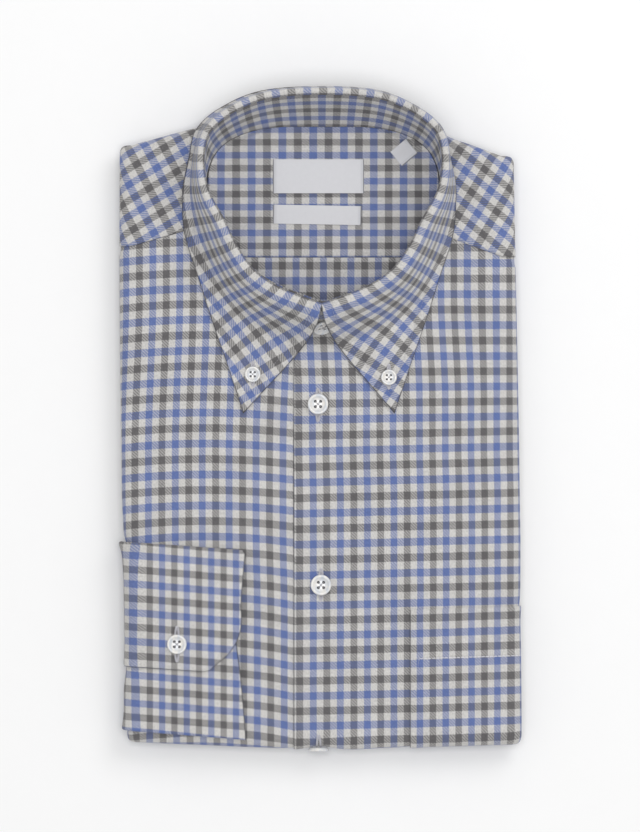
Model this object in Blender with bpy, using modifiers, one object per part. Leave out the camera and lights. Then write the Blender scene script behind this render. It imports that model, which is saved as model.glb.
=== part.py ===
"""Folded check shirt with a button-down collar, as folded for sale.

Metres, +Z up. The package lies flat on z = 0 with its neck towards +Y. Left and right are the
wearer's, so the right front is at -X and the left front, which laps over it, at +X.
Every panel is a sheet with two parameters. A point of the flat, laid-out cloth goes through
drape(), which carries it over the top of the package and round its rolled edges.
"""

import functools
import math

import bmesh
import bpy
from mathutils import Matrix, Vector

MM = 0.001

# --- cloth -------------------------------------------------------------------------------
WALL = 1.0 * MM            # a panel: flannel with its turned edge
COLLAR_WALL = 1.3 * MM     # collar: two layers and interlining
LABEL_WALL = 0.5 * MM
GAP = 0.3 * MM             # clearance at seams and between layers
LAYER = WALL + GAP         # height of one layer over the next

# --- the folded package ------------------------------------------------------------------
ROLL = 7.0 * MM            # radius of the rolled edge
ROLL_TURN = math.radians(150)
CORNER_POWER = 4           # squareness of the rolled corners
BODY_Z = 21.0 * MM         # height of the fronts' middle surface at the sides
CROWN = 1.5 * MM           # extra height at the middle
CROWN_HALF_WIDTH = 115 * MM
CROWN_HALF_LENGTH = 195 * MM

SIDE_EDGES = (
    # y, left x, right x (mm)
    (-181.0, -108.9, 111.2),
    (-175.0, -108.5, 111.4),
    (-143.0, -106.5, 111.2),
    (-110.0, -105.7, 110.9),
    (-84.0, -106.6, 112.0),
    (-56.0, -111.1, 111.9),
    (-12.0, -112.0, 111.3),
    (90.0, -113.0, 109.3),
    (143.0, -112.9, 108.3),
)
TOP_EDGE = (
    # x, y (mm): right shoulder, nape, left shoulder
    (-113.0, 149.5),
    (-103.0, 153.7),
    (-96.0, 155.6),
    (-76.0, 161.0),
    (-69.0, 162.8),
    (-60.0, 165.5),
    (-46.0, 171.0),
    (-28.0, 175.0),
    (0.0, 176.0),
    (28.0, 175.0),
    (46.0, 171.0),
    (60.0, 164.5),
    (71.0, 157.9),
    (85.0, 152.8),
    (98.0, 148.0),
    (109.0, 143.6),
)
BOTTOM_EDGE = (
    # x, y (mm)
    (-107.0, -180.9),
    (-62.0, -182.9),
    (-16.0, -184.0),
    (0.0, -182.2),
    (16.0, -183.8),
    (43.0, -184.0),
    (54.0, -183.0),
    (113.0, -181.0),
)
BODY_COLUMNS = (-69.0, -60.0, -46.0, -28.0, 0.0, 28.0, 46.0, 60.0, 71.0)   # of its facets (x, mm)
FRONT_YOKE_SEAM = (
    # x, y (mm): right side, then left side
    (-130.0, 89.3),
    (-60.0, 109.5),
    (60.0, 104.5),
    (130.0, 80.4),
)
# rows of the facets (y) that the stacked panels share, so that one lies evenly on the next
LEVELS = (40.0 * MM, -12.0 * MM, -56.0 * MM, -84.0 * MM, -110.0 * MM, -143.0 * MM)
SHOULDER_Y = 120.0 * MM
YOKE_COLUMNS = (
    # share of the neck seam, place on the outer fold (side 0 to 1, shoulder 1 to 2), and the
    # shares of the cloth past the fold that go sideways and towards the neck
    (0.0, 0.0, 1.0, 0.0),
    (0.12, 0.33, 1.0, 0.0),
    (0.22, 0.66, 1.0, 0.0),
    (0.30, 0.90, 1.0, 0.0),
    (0.34, 0.97, 1.0, 0.5),
    (0.38, 1.0, 1.0, 1.0),
    (0.42, 1.015, 0.5, 1.0),
    (0.46, 1.04, 0.0, 1.0),
    (0.56, 1.31, 0.0, 1.0),
    (0.64, 1.42, 0.0, 1.0),
    (0.73, 1.56, 0.0, 1.0),
    (0.85, 1.735, 0.0, 1.0),
    (1.0, 2.0, 0.0, 1.0),
)
LAYER_EDGES = (
    # z, inset from the rolled edge (mm): folded sleeves and tail under the fronts
    (9.2, 4.6),
    (5.9, 5.4),
    (5.5, 2.4),
    (4.3, 1.9),
    (3.6, 4.4),
    (3.0, 2.4),
    (0.9, 2.4),
    (0.0, 4.4),
)

# --- the collar --------------------------------------------------------------------------
COLLAR = (
    # half of the collar from the front to the nape, a row for each section (mm):
    # seam x, y; crest x, y, z; fall's edge x, y, z, where 0 means that it lies on the panel
    (0.0, 49.3, 0.9, 63.5, 49.0, 42.3, 2.8, 0.0),
    (25.0, 55.5, 24.5, 69.2, 50.0, 51.0, 29.0, 0.0),
    (43.0, 70.0, 40.5, 80.0, 51.0, 61.0, 58.0, 0.0),
    (56.5, 90.0, 51.5, 94.5, 52.0, 68.0, 80.0, 0.0),
    (63.5, 109.0, 60.0, 110.0, 53.0, 75.2, 103.0, 0.0),
    (65.6, 126.0, 69.3, 126.5, 53.5, 77.0, 124.0, 0.0),
    (65.0, 139.5, 71.0, 144.5, 53.5, 75.3, 145.0, 0.0),
    (59.0, 151.5, 64.9, 160.2, 53.0, 67.9, 161.4, 21.5),
    (47.0, 159.5, 51.9, 172.3, 52.5, 54.4, 174.3, 11.0),
    (28.0, 164.0, 31.0, 180.3, 52.0, 32.5, 183.2, 9.5),
    (0.0, 164.6, 0.0, 182.3, 52.0, 0.0, 185.4, 9.0),
)
SECTION_STEPS = 2          # sheets' columns between two rows of the table
RING_STEPS = 8             # points between two rows where the neck seam is used as an edge
NECK_SHIFT = 1.3 * MM      # the neck sits a little to the wearer's left
FALL_SHIFT = -1.0 * MM     # the fall's edge flares a little more on the right
CREASE_IN = 2.7 * MM       # the stand's top, in from the crest and down from it
CREASE_DOWN = 2.4 * MM
CREASE_GAP = 1.0 * MM      # clearance of the stand's and the fall's slanting edges
SEAM_CLEAR = COLLAR_WALL / 2 + 0.9 * MM   # panels' edges, out or in from the neck seam
END_STRETCH = 0.2          # sections at each front end that share one direction
CREASE_TURN = (
    # shares of the two above, from the crease up to the crest
    (1.0, 1.0),
    (0.86, 0.42),
    (0.42, 0.07),
)
FALL_SHARES = (0.0, 0.12, 0.26, 0.42, 0.6, 0.8, 1.0)
CREST_REACH = 4.0 * MM     # how far the fall keeps level past the crest
CREST_ROUNDNESS = 0.06
EDGE_REST = 20.0 * MM      # an edge this high, or this far out, hangs free or lies down
EDGE_FLATNESS = 0.45       # how soon the fall comes down to the panels
EDGE_STEEPNESS = (0.12, 0.55)  # how steeply it meets its edge, far out and close in
FALL_LINES = len(CREASE_TURN) + len(FALL_SHARES)
STAND_LAP = 0.6            # sections by which the stand's ends lap past the centre front
LAP_OFFSET = 1.3 * MM      # in on the right, out on the left
LAP_BLEND = (0.5, 2.5)     # sections from the end over which the offset fades
STAND_BOW = 1.0 * MM


# --- inside the neck ---------------------------------------------------------------------
BACK_SEAM_Y = 90.3 * MM    # inner yoke's seam to the back
INSIDE_FRONT_Y = 50.0 * MM  # front and nape of the neck opening
INSIDE_NAPE_Y = 164.5 * MM
FLOOR_FRONT = 9.5 * MM     # height of the inside of the back at the front of the neck
FLOOR_RISE = 8.0 * MM      # how much higher it is at the nape
FLOOR_CURVE = 1.3
RIM_RISE_WIDTH = 8.0 * MM  # where it turns up to the neck seam
NAPE_STEEPNESS = 1.5       # it turns up over a shorter stretch at the nape
RIM_DROP = 1.6 * MM        # its edge is this much below the fronts' middle surface

LABELS = (
    # name, centre x, y, width, height (mm), turn (degrees)
    ("neck_label", -1.3, 135.8, 51.0, 19.0, 0.0),
    ("origin_label", -2.0, 114.2, 49.5, 10.6, -1.0),
    ("size_tab", 46.6, 149.0, 11.2, 10.4, 40.0),
)

# --- on the fronts -----------------------------------------------------------------------
LAP_EDGE_X = -15.2 * MM    # left front's edge, over the right front
LAP_UNDER_X = 11.0 * MM    # right front's edge, under the left front
LAP_EASE = 30.0 * MM       # the left front comes down to the right front's level over this
POCKET_LEFT_X = 50.0 * MM
POCKET_TOP_Y = -107.0 * MM
POCKET_TOP_SLOPE = 0.03
POCKET_WRAP = math.radians(120)
POCKET_LIFT = LAYER + 0.2 * MM

CUFF_HAND_X = -45.0 * MM   # hand edge of the lapped end
CUFF_UNDER_X = -42.0 * MM  # hand edge of the band under it
CUFF_CORNER = 13.0 * MM
CUFF_TOP_Y = -71.0 * MM    # upper fold, at the side fold
CUFF_END_Y = -139.0 * MM   # end of the lapped end
CUFF_TUCK_Y = -122.0 * MM  # end of the band under it
CUFF_BOTTOM_Y = -173.5 * MM  # lower fold
CUFF_LIFTS = (1.5 * MM, 3.1 * MM, 4.7 * MM)
CUFF_SLOPE = -0.07         # the band runs down a little towards the hand edge
CUFF_WRAP = math.radians(85)   # how far it goes round the side fold
SLEEVE_WRAP = math.radians(125)
SLEEVE_LIFT = 2.1 * MM

# --- buttons -----------------------------------------------------------------------------
FRONT_BUTTON_R = 5.8 * MM
COLLAR_BUTTON_R = 4.4 * MM
CUFF_BUTTON_R = 5.5 * MM
BUTTON_GAP = GAP + 0.2 * MM
COLLAR_BUTTONS = (
    # name, x, y (mm)
    ("collar_button_right", -38.5, 23.8),
    ("collar_button_left", 37.1, 22.7),
)
STAND_BUTTON_UP = 0.36     # place of the stand's button between its two seams
PANEL_BUTTONS = (
    # name, radius, x, y (mm, on the flat cloth), lift of the cloth under it
    ("front_button_1", FRONT_BUTTON_R, -1.6, 8.1, LAYER),
    ("front_button_2", FRONT_BUTTON_R, 0.1, -93.2, LAYER),
    ("front_button_3", FRONT_BUTTON_R, -1.2, -186.3, LAYER + 0.3 * MM),
    ("cuff_button", CUFF_BUTTON_R, -80.5, -126.3, CUFF_LIFTS[2]),
)
BUTTON_SHAPE = (
    # radius and height, as parts of the button's radius
    (0.0, 0.22),
    (0.62, 0.23),
    (0.80, 0.38),
    (0.95, 0.36),
    (1.0, 0.25),
    (0.80, 0.0),
    (0.0, 0.0),
)
HOLE_OFFSET = 0.19         # from the button's middle, as a part of its radius
HOLE_RADIUS = 0.085
BUTTON_SIDES = 16
HOLE_SIDES = 5

FLANNEL = ((0.42, 0.44, 0.50, 1.0), 0.95)
LABEL_CLOTH = ((0.80, 0.80, 0.82, 1.0), 0.85)
PEARL = ((0.86, 0.86, 0.86, 1.0), 0.25)


# === small helpers =======================================================================

def between(a, b, share):
    return a + (b - a) * share


def smoothstep(low, high, value):
    share = min(max((value - low) / (high - low), 0.0), 1.0)
    return share * share * (3.0 - 2.0 * share)


def look_up(table, value, column=1):
    """A column of a table (mm) at a value of its first column (m), straight between its rows."""
    value /= MM
    if value <= table[0][0]:
        return table[0][column] * MM
    for low, high in zip(table, table[1:]):
        if value <= high[0]:
            share = (value - low[0]) / (high[0] - low[0])
            return between(low[column], high[column], share) * MM
    return table[-1][column] * MM


def spline(rows, position):
    """The smooth (Catmull-Rom) curve through equally spaced rows of numbers."""
    index = min(max(int(math.floor(position)), 0), len(rows) - 2)
    share = position - index
    before = rows[max(index - 1, 0)]
    after = rows[min(index + 2, len(rows) - 1)]
    point = []
    for p0, p1, p2, p3 in zip(before, rows[index], rows[index + 1], after):
        bend = 2 * p0 - 5 * p1 + 4 * p2 - p3
        twist = 3 * p1 - p0 - 3 * p2 + p3
        point.append(0.5 * (2 * p1 + share * (p2 - p0 + share * (bend + share * twist))))
    return point


def steps(count):
    return [index / count for index in range(count + 1)]


# === the package's surface ===============================================================

def left_edge(y):
    return look_up(SIDE_EDGES, y, 1) + WALL / 2


def right_edge(y):
    return look_up(SIDE_EDGES, y, 2) - WALL / 2


def body_height(x, y):
    """Height of the fronts' middle surface, a little crowned."""
    across = max(1 - (x / CROWN_HALF_WIDTH) ** 2, 0)
    along = max(1 - (y / CROWN_HALF_LENGTH) ** 2, 0)
    return BODY_Z + CROWN * across * along


def roll_start(x, y):
    """The nearest place on the flat top, and how far (x, y) goes past it each way."""
    flat_y = min(max(y, look_up(BOTTOM_EDGE, x) + ROLL), look_up(TOP_EDGE, x) - ROLL)
    flat_x = min(max(x, left_edge(flat_y) + ROLL), right_edge(flat_y) - ROLL)
    flat_y = min(max(y, look_up(BOTTOM_EDGE, flat_x) + ROLL), look_up(TOP_EDGE, flat_x) - ROLL)
    return flat_x, flat_y, x - flat_x, y - flat_y


def drape(x, y, lift=0.0):
    """Where a cloth point goes on the package: flat on top, then round the rolled edge.

    lift is its height over the fronts' middle surface, measured square to the cloth.
    """
    flat_x, flat_y, over_x, over_y = roll_start(x, y)
    z = body_height(flat_x, flat_y)
    over = (abs(over_x) ** CORNER_POWER + abs(over_y) ** CORNER_POWER) ** (1 / CORNER_POWER)
    if over < 1e-9:
        return Vector((flat_x, flat_y, z + lift))
    turn = min(over / ROLL, ROLL_TURN)
    reach = (ROLL + lift) * math.sin(turn) / over
    return Vector((
        flat_x + over_x * reach,
        flat_y + over_y * reach,
        z - ROLL + (ROLL + lift) * math.cos(turn),
    ))


def rim_point(x, y, inset, z):
    """The package's outline beside a cloth point that is past the roll's start, drawn in."""
    flat_x, flat_y, over_x, over_y = roll_start(x, y)
    over = (abs(over_x) ** CORNER_POWER + abs(over_y) ** CORNER_POWER) ** (1 / CORNER_POWER)
    reach = (ROLL - inset) / over
    return Vector((flat_x + over_x * reach, flat_y + over_y * reach, z))


def roll_overs(last=ROLL_TURN, count=5):
    """Cloth lengths past the roll's start, for even turns up to the last one."""
    return [ROLL * last * (index + 1) / count for index in range(count)]


# === making objects ======================================================================

def new_collection(name):
    collection = bpy.data.collections.new(name)
    bpy.context.scene.collection.children.link(collection)
    return collection


def material(name, look):
    colour, roughness = look
    made = bpy.data.materials.new(name)
    made.use_nodes = True
    shader = made.node_tree.nodes["Principled BSDF"]
    shader.inputs["Base Color"].default_value = colour
    shader.inputs["Roughness"].default_value = roughness
    shader.inputs["Metallic"].default_value = 0.0
    return made


def add_object(name, mesh, collection, look):
    mesh.materials.append(material(name, look))
    made = bpy.data.objects.new(name, mesh)
    collection.objects.link(made)
    return made


def grid_bmesh(surface, across, along):
    """A grid whose vertices go where surface(a, b) says, for each listed a and b."""
    bm = bmesh.new()
    columns = len(across) - 1
    rows = len(along) - 1
    bmesh.ops.create_grid(bm, x_segments=columns, y_segments=rows, size=0.5)
    for vertex in bm.verts:
        column = round((vertex.co.x + 0.5) * columns)
        row = round((vertex.co.y + 0.5) * rows)
        vertex.co = surface(across[column], along[row])
    return bm


def sheet(name, surface, across, along, wall=WALL, look=FLANNEL):
    """A panel: an open surface through the middle of the cloth, given its wall by Solidify."""
    bm = grid_bmesh(surface, across, along)
    mesh = bpy.data.meshes.new(name)
    bm.to_mesh(mesh)
    bm.free()
    mesh.shade_smooth()
    made = add_object(name, mesh, PARTS, look)
    solidify = made.modifiers.new("wall", "SOLIDIFY")
    solidify.thickness = wall
    solidify.offset = 0.0
    solidify.use_even_offset = True
    return made


# === the collar's curves =================================================================

def shifted(row, side):
    """A row of the collar's table in metres, for one side, with the neck's shifts."""
    seam_x, seam_y, crest_x, crest_y, crest_z, edge_x, edge_y, edge_z = row
    fade = smoothstep(60.0, 90.0, crest_y)
    neck = between(NECK_SHIFT * 0.3, NECK_SHIFT, fade)
    return (
        side * seam_x * MM + neck, seam_y * MM,
        side * crest_x * MM + neck, crest_y * MM, crest_z * MM,
        side * edge_x * MM + FALL_SHIFT * min(edge_x / 40, 1), edge_y * MM, edge_z * MM,
    )


RIGHT_HALF = [shifted(row, -1) for row in COLLAR]
LEFT_HALF = [shifted(row, 1) for row in COLLAR]
ROUND_COLLAR = RIGHT_HALF + LEFT_HALF[-2::-1]       # from the right front end to the left one
LAST_SECTION = len(ROUND_COLLAR) - 1
NAPE = LAST_SECTION // 2


def seam_point(position):
    """The neck seam in plan. Past either end it goes on along the other side."""
    if position < 0:
        across = spline(ROUND_COLLAR, LAST_SECTION + position)
    elif position > LAST_SECTION:
        across = spline(ROUND_COLLAR, position - LAST_SECTION)
    else:
        across = spline(ROUND_COLLAR, position)
    return Vector((across[0], across[1], 0.0))


def crest_point(position):
    if position < 0:
        row = spline(ROUND_COLLAR, LAST_SECTION + position)
    elif position > LAST_SECTION:
        row = spline(ROUND_COLLAR, position - LAST_SECTION)
    else:
        row = spline(ROUND_COLLAR, position)
    return Vector(row[2:5])


def outward(curve, position):
    """Square to a ring in plan, away from the neck."""
    step = 0.05
    along = curve(position + step) - curve(position - step)
    return Vector((-along.y, along.x, 0.0)).normalized()


def crest_outward(position):
    """Square to the crest in plan. The last stretch at each end keeps the direction before it."""
    return outward(crest_point, min(max(position, END_STRETCH), LAST_SECTION - END_STRETCH))


@functools.lru_cache(maxsize=None)
def offset_seam(distance):
    """The neck seam moved outward, as a list of (position, point)."""
    ring = []
    for index in range(LAST_SECTION * RING_STEPS + 1):
        position = index / RING_STEPS
        ring.append((position, seam_point(position) + outward(seam_point, position) * distance))
    return ring


@functools.lru_cache(maxsize=None)
def neck_front_y(x):
    """The fronts' neckline at x: the seam's front part, clear of the stand and its lapped ends."""
    lapped = LAP_OFFSET * (1 - smoothstep(25 * MM, 55 * MM, abs(x)))
    ring = [point for _, point in offset_seam(SEAM_CLEAR + lapped)]
    widest_right = min(range(len(ring)), key=lambda index: ring[index].x)
    widest_left = max(range(len(ring)), key=lambda index: ring[index].x)
    front = ring[widest_left:] + ring[:widest_right + 1]
    front.sort(key=lambda point: point.x)
    if x <= front[0].x or x >= front[-1].x:
        return None
    for low, high in zip(front, front[1:]):
        if x <= high.x:
            return between(low.y, high.y, (x - low.x) / max(high.x - low.x, 1e-9))
    return None


@functools.lru_cache(maxsize=None)
def neck_half_widths(y, clearance):
    """The neck opening's left and right x at y, the seam moved inward by the clearance."""
    ring = [point for _, point in offset_seam(-clearance)]
    middle = len(ring) // 2
    sides = []
    for half in (ring[:middle + 1], ring[:middle - 1:-1]):
        x = half[-1].x
        for low, high in zip(half, half[1:]):
            if low.y <= y <= high.y and high.y > low.y:
                x = between(low.x, high.x, (y - low.y) / (high.y - low.y))
                break
        sides.append(x)
    return sides[0], sides[1]


# === the fronts and what lies on them ====================================================

def lap_lift(x):
    """The left front lies one layer up where the right front is under it."""
    return LAYER * (1 - smoothstep(LAP_UNDER_X, LAP_UNDER_X + LAP_EASE, x))


def panel_top(x, y):
    """Height of the top face of the fronts and yokes."""
    lift = WALL / 2
    if x > LAP_EDGE_X:
        lift += lap_lift(x)
    return drape(x, y, lift).z


def front_top_y(x):
    """A front's upper edge: the neckline, then the seam to the yoke."""
    neckline = neck_front_y(x)
    yoke_seam = look_up(FRONT_YOKE_SEAM, x) - GAP / 2
    if neckline is None:
        return yoke_seam
    return min(neckline, yoke_seam)


def front_surface(side_sign):
    """A front, from its upper edge down and round the bottom fold.

    Columns are at set distances from the centre, then at set lengths past the side fold. Rows
    share out the height over the first level, then are at the levels, then past the fold.
    """
    def surface(across, along):
        distance, past_fold = across
        down, over_y = along

        def column_x(y):
            if past_fold is None:
                return side_sign * distance
            edge = left_edge(y) + ROLL if side_sign < 0 else right_edge(y) - ROLL
            return edge + side_sign * past_fold

        x = column_x(0.0)
        if down is None:
            y = look_up(BOTTOM_EDGE, x) + ROLL - over_y
        elif down > 0:
            y = between(LEVELS[0], front_top_y(x), down)
        else:
            y = over_y
        x = column_x(y)
        return drape(x, y, 0.0 if side_sign < 0 else lap_lift(x))
    return surface


def build_fronts():
    distances = [16.0, 31.0, 43.0, 52.0, 59.0, 63.5, 68.0]
    inner = [(distance * MM, None) for distance in distances]
    outer = [(None, over) for over in [0.0] + roll_overs()]
    along = [(share, 0.0) for share in (1.0, 0.67, 0.33)] + [(0.0, level) for level in LEVELS]
    along += [(None, over) for over in [0.0] + roll_overs()]
    right = [(-LAP_UNDER_X, None), (0.0, None)] + inner + outer
    left = [(LAP_EDGE_X, None), (0.0, None)] + inner + outer
    sheet("right_front", front_surface(-1), right, along)
    sheet("left_front", front_surface(1), left, along)


def yoke_surface(side_sign):
    """A yoke half, fanned out from the neck seam to the shoulder fold."""
    ring = offset_seam(SEAM_CLEAR)
    half = ring[:len(ring) // 2 + 1] if side_sign < 0 else ring[:len(ring) // 2 - 1:-1]
    neck = [point for _, point in half
            if point.y >= look_up(FRONT_YOKE_SEAM, point.x) + GAP / 2]

    edge = left_edge if side_sign < 0 else right_edge
    side_x = edge(SHOULDER_Y) - side_sign * ROLL
    low = look_up(FRONT_YOKE_SEAM, side_x) + GAP / 2
    high = look_up(TOP_EDGE, side_x) - ROLL
    centre = side_sign * GAP / 2

    def surface(column, row):
        neck_share, start, over_x, over_y = column
        share, over = row
        place = neck_share * (len(neck) - 1)
        index = min(int(place), len(neck) - 2)
        inner = neck[index].lerp(neck[index + 1], place - index)
        if neck_share == 1.0:
            inner.x = centre
        if start <= 1.0:
            y = between(low, high, start)
            outer = Vector((edge(y) - side_sign * ROLL, y, 0.0))
        else:
            x = between(side_x, centre, start - 1.0)
            outer = Vector((x, look_up(TOP_EDGE, x) - ROLL, 0.0))
        flat = inner.lerp(outer, share)
        return drape(flat.x + side_sign * over * over_x, flat.y + over * over_y)

    return surface


def build_yokes():
    out = [(share, 0.0) for share in steps(4)] + [(1.0, over) for over in roll_overs()]
    sheet("right_yoke", yoke_surface(-1), YOKE_COLUMNS, out)
    sheet("left_yoke", yoke_surface(1), YOKE_COLUMNS, out)


def build_pocket():
    """The chest pocket, from its upper corner over the side and bottom folds."""
    def surface(across, along):
        share, over_x = across
        level, over_y = along
        x = between(POCKET_LEFT_X, right_edge(LEVELS[-1]) - ROLL, share) + over_x
        y = look_up(BOTTOM_EDGE, x) + ROLL - over_y
        if level is not None:
            y = level + (x - POCKET_LEFT_X) * (POCKET_TOP_SLOPE if level > LEVELS[-1] else 0.0)
        x = between(POCKET_LEFT_X, right_edge(y) - ROLL, share) + over_x
        return drape(x, y, POCKET_LIFT + lap_lift(x))

    overs = roll_overs(POCKET_WRAP, 4)
    across = [(share, 0.0) for share in steps(4)] + [(1.0, over) for over in overs]
    levels = [POCKET_TOP_Y, LEVELS[-2], between(LEVELS[-2], LEVELS[-1], 0.5), LEVELS[-1]]
    along = [(level, 0.0) for level in levels] + [(None, over) for over in [0.0] + overs]
    sheet("pocket", surface, across, along)


# === cuff and sleeve =====================================================================

def cuff_path():
    """The band's section as (y, lift) points: lapped end, upper fold, underside, lower fold, tuck."""
    low, middle, high = CUFF_LIFTS
    path = [(between(CUFF_END_Y, CUFF_TOP_Y, share), high) for share in steps(4)]
    radius = (high - low) / 2
    for turn in (45, 90, 135):
        angle = math.radians(turn)
        path.append((CUFF_TOP_Y + radius * math.sin(angle), low + radius + radius * math.cos(angle)))
    path += [(between(CUFF_TOP_Y, CUFF_BOTTOM_Y, share), low)
             for share in (0.0, 0.25, 0.5, 0.75, 0.93, 0.965, 1.0)]
    radius = (middle - low) / 2
    for turn in (45, 90, 135):
        angle = math.radians(turn)
        path.append((CUFF_BOTTOM_Y - radius * math.sin(angle), low + radius - radius * math.cos(angle)))
    path += [(between(CUFF_BOTTOM_Y, CUFF_TUCK_Y, share), middle)
             for share in (0.0, 0.07, 0.14, 0.5, 1.0)]
    return path


def cuff_hand_x(y, lift):
    """The hand edge, rounded at the corner of the lapped end."""
    if lift < CUFF_LIFTS[2]:
        return CUFF_UNDER_X
    into_corner = max(CUFF_END_Y + CUFF_CORNER - y, 0.0)
    return CUFF_HAND_X - CUFF_CORNER + math.sqrt(max(CUFF_CORNER ** 2 - into_corner ** 2, 0.0))


def cuff_place(x, y, lift):
    sloped = y + CUFF_SLOPE * (x - left_edge(y))
    return drape(x, sloped, lift)


def build_cuff():
    path = cuff_path()

    def surface(across, along):
        share, over = across
        y, lift = along
        hand = cuff_hand_x(y, lift)
        x = between(hand, left_edge(y) + ROLL, share) - over
        return cuff_place(x, y, lift)

    across = [(share, 0.0) for share in steps(5)] + [(1.0, over) for over in roll_overs(CUFF_WRAP, 4)]
    corner = [(CUFF_END_Y + CUFF_CORNER * (1 - math.cos(math.radians(turn))), CUFF_LIFTS[2])
              for turn in (30, 60)]
    along = path[:1] + corner + path[1:]
    sheet("right_cuff", surface, across, along)


def build_sleeve():
    """The lower sleeve, from the cuff's seam round and under the side fold."""
    first = CUFF_WRAP * ROLL + GAP
    last = SLEEVE_WRAP * ROLL

    def surface(across, along):
        y = between(CUFF_TOP_Y - MM, CUFF_BOTTOM_Y + MM, along)
        x = left_edge(y) + ROLL - between(first, last, across)
        return cuff_place(x, y, SLEEVE_LIFT)

    sheet("right_sleeve", surface, steps(5), steps(8))


# === inside the neck =====================================================================

def floor_height(x, y, left, right):
    """The inside of the back: a gentle slope up to the nape, turned up along the neck seam."""
    share = (y - INSIDE_FRONT_Y) / (INSIDE_NAPE_Y - INSIDE_FRONT_Y)
    level = FLOOR_FRONT + FLOOR_RISE * max(share, 0.0) ** FLOOR_CURVE
    rim = body_height(x, y) - RIM_DROP
    to_rim = min(x - left, right - x, (INSIDE_NAPE_Y - y) * NAPE_STEEPNESS)
    rise = 1 - smoothstep(0.0, RIM_RISE_WIDTH, to_rim)
    return between(level, rim, rise)


def inside_surface(clearance=SEAM_CLEAR, lift=0.0):
    def surface(across, y):
        left, right = neck_half_widths(y, clearance)
        x = between(left, right, across)
        return Vector((x, y, floor_height(x, y, left, right) + lift))
    return surface


INSIDE_SHARES = [0.0, 0.025, 0.06, 0.12, 0.3, 0.5, 0.7, 0.88, 0.94, 0.975, 1.0]
BACK_ROWS = [53.0 * MM, 56.0 * MM, 60.0 * MM, 68.0 * MM, 78.0 * MM, BACK_SEAM_Y - GAP / 2]
YOKE_ROWS = [BACK_SEAM_Y + GAP / 2, 105.0 * MM, 120.0 * MM, 134.0 * MM, 145.0 * MM, 152.0 * MM,
             157.0 * MM, 160.0 * MM, 162.8 * MM]


def build_inside():
    sheet("inner_yoke", inside_surface(), INSIDE_SHARES, YOKE_ROWS)
    sheet("back_panel", inside_surface(), INSIDE_SHARES, BACK_ROWS)


def inside_point(x, y, lift):
    """A place on the inside of the back, moved up square to the cloth."""
    def at(x, y):
        left, right = neck_half_widths(y, SEAM_CLEAR)
        return Vector((x, y, floor_height(x, y, left, right)))

    here = at(x, y)
    normal = (at(x + MM, y) - here).cross(at(x, y + MM) - here).normalized()
    return here + normal * lift


def build_labels():
    for name, middle_x, middle_y, width, height, turn in LABELS:
        cos_turn = math.cos(math.radians(turn))
        sin_turn = math.sin(math.radians(turn))

        def surface(across, along):
            a = (across - 0.5) * width * MM
            b = (along - 0.5) * height * MM
            x = middle_x * MM + a * cos_turn - b * sin_turn
            y = middle_y * MM + a * sin_turn + b * cos_turn
            return inside_point(x, y, WALL / 2 + GAP + LABEL_WALL)

        sheet(name, surface, steps(4), steps(3), LABEL_WALL, LABEL_CLOTH)


# === collar ==============================================================================

def stand_surface(position, up):
    """From the neck seam to the crease under the crest, its two ends lapped at the front."""
    seam = seam_point(position)
    crest = crest_point(position)
    out = crest_outward(position)
    crease = crest - out * CREASE_IN - Vector((0, 0, CREASE_DOWN + CREASE_GAP))
    seam.z = drape(seam.x, seam.y).z + GAP
    lap = smoothstep(LAP_BLEND[1], LAP_BLEND[0], position)
    lap -= smoothstep(LAST_SECTION - LAP_BLEND[1], LAST_SECTION - LAP_BLEND[0], position)
    bow = math.sin(math.pi * up) * STAND_BOW
    return seam.lerp(crease, up) + out * (bow - lap * LAP_OFFSET)


def fall_section(position):
    """The fall's section as a list of points from the crease over the crest to its edge."""
    row = spline(ROUND_COLLAR, position)
    crest = Vector(row[2:5])
    edge = Vector(row[5:8])
    out = crest_outward(position)
    resting = panel_top(edge.x, edge.y) + GAP + COLLAR_WALL / 2
    hanging = smoothstep(0.0, EDGE_REST, edge.z)
    edge.z = max(edge.z, between(resting, edge.z, hanging))
    up = Vector((0, 0, 1))
    run = Vector((edge.x - crest.x, edge.y - crest.y)).length
    drop = crest.z - edge.z
    back = max(run - CREST_REACH, 0.0) / max(run, MM) * EDGE_FLATNESS
    steep = between(EDGE_STEEPNESS[1], EDGE_STEEPNESS[0], smoothstep(0.0, EDGE_REST, run))
    first = crest + out * (CREST_REACH + CREST_ROUNDNESS * run)
    second = edge + Vector((crest.x - edge.x, crest.y - edge.y, 0)) * back + up * drop * steep
    inside = [crest - out * CREASE_IN * inward - up * CREASE_DOWN * down for inward, down in CREASE_TURN]
    outside = []
    for share in FALL_SHARES:
        rest = 1 - share
        point = crest * rest ** 3 + first * 3 * rest ** 2 * share
        point += second * 3 * rest * share ** 2 + edge * share ** 3
        outside.append(point)
    return inside + outside


def fall_surface(position, line):
    """A point of the fall, kept clear of the panels that it lies on."""
    point = fall_section(position)[line]
    across = left_edge(point.y) < point.x < right_edge(point.y)
    if across and point.y < look_up(TOP_EDGE, point.x) and line > len(CREASE_TURN):
        point.z = max(point.z, panel_top(point.x, point.y) + GAP + COLLAR_WALL / 2)
    return point


def build_collar():
    count = LAST_SECTION * SECTION_STEPS
    sections = [index / SECTION_STEPS for index in range(count + 1)]
    lap = [-STAND_LAP]
    lap_end = [LAST_SECTION + STAND_LAP]
    sheet("collar_stand", stand_surface, lap + sections + lap_end, steps(4), COLLAR_WALL)
    sheet("collar_fall", fall_surface, sections, list(range(FALL_LINES)), COLLAR_WALL)


# === the folded layers under it all ======================================================

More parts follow.
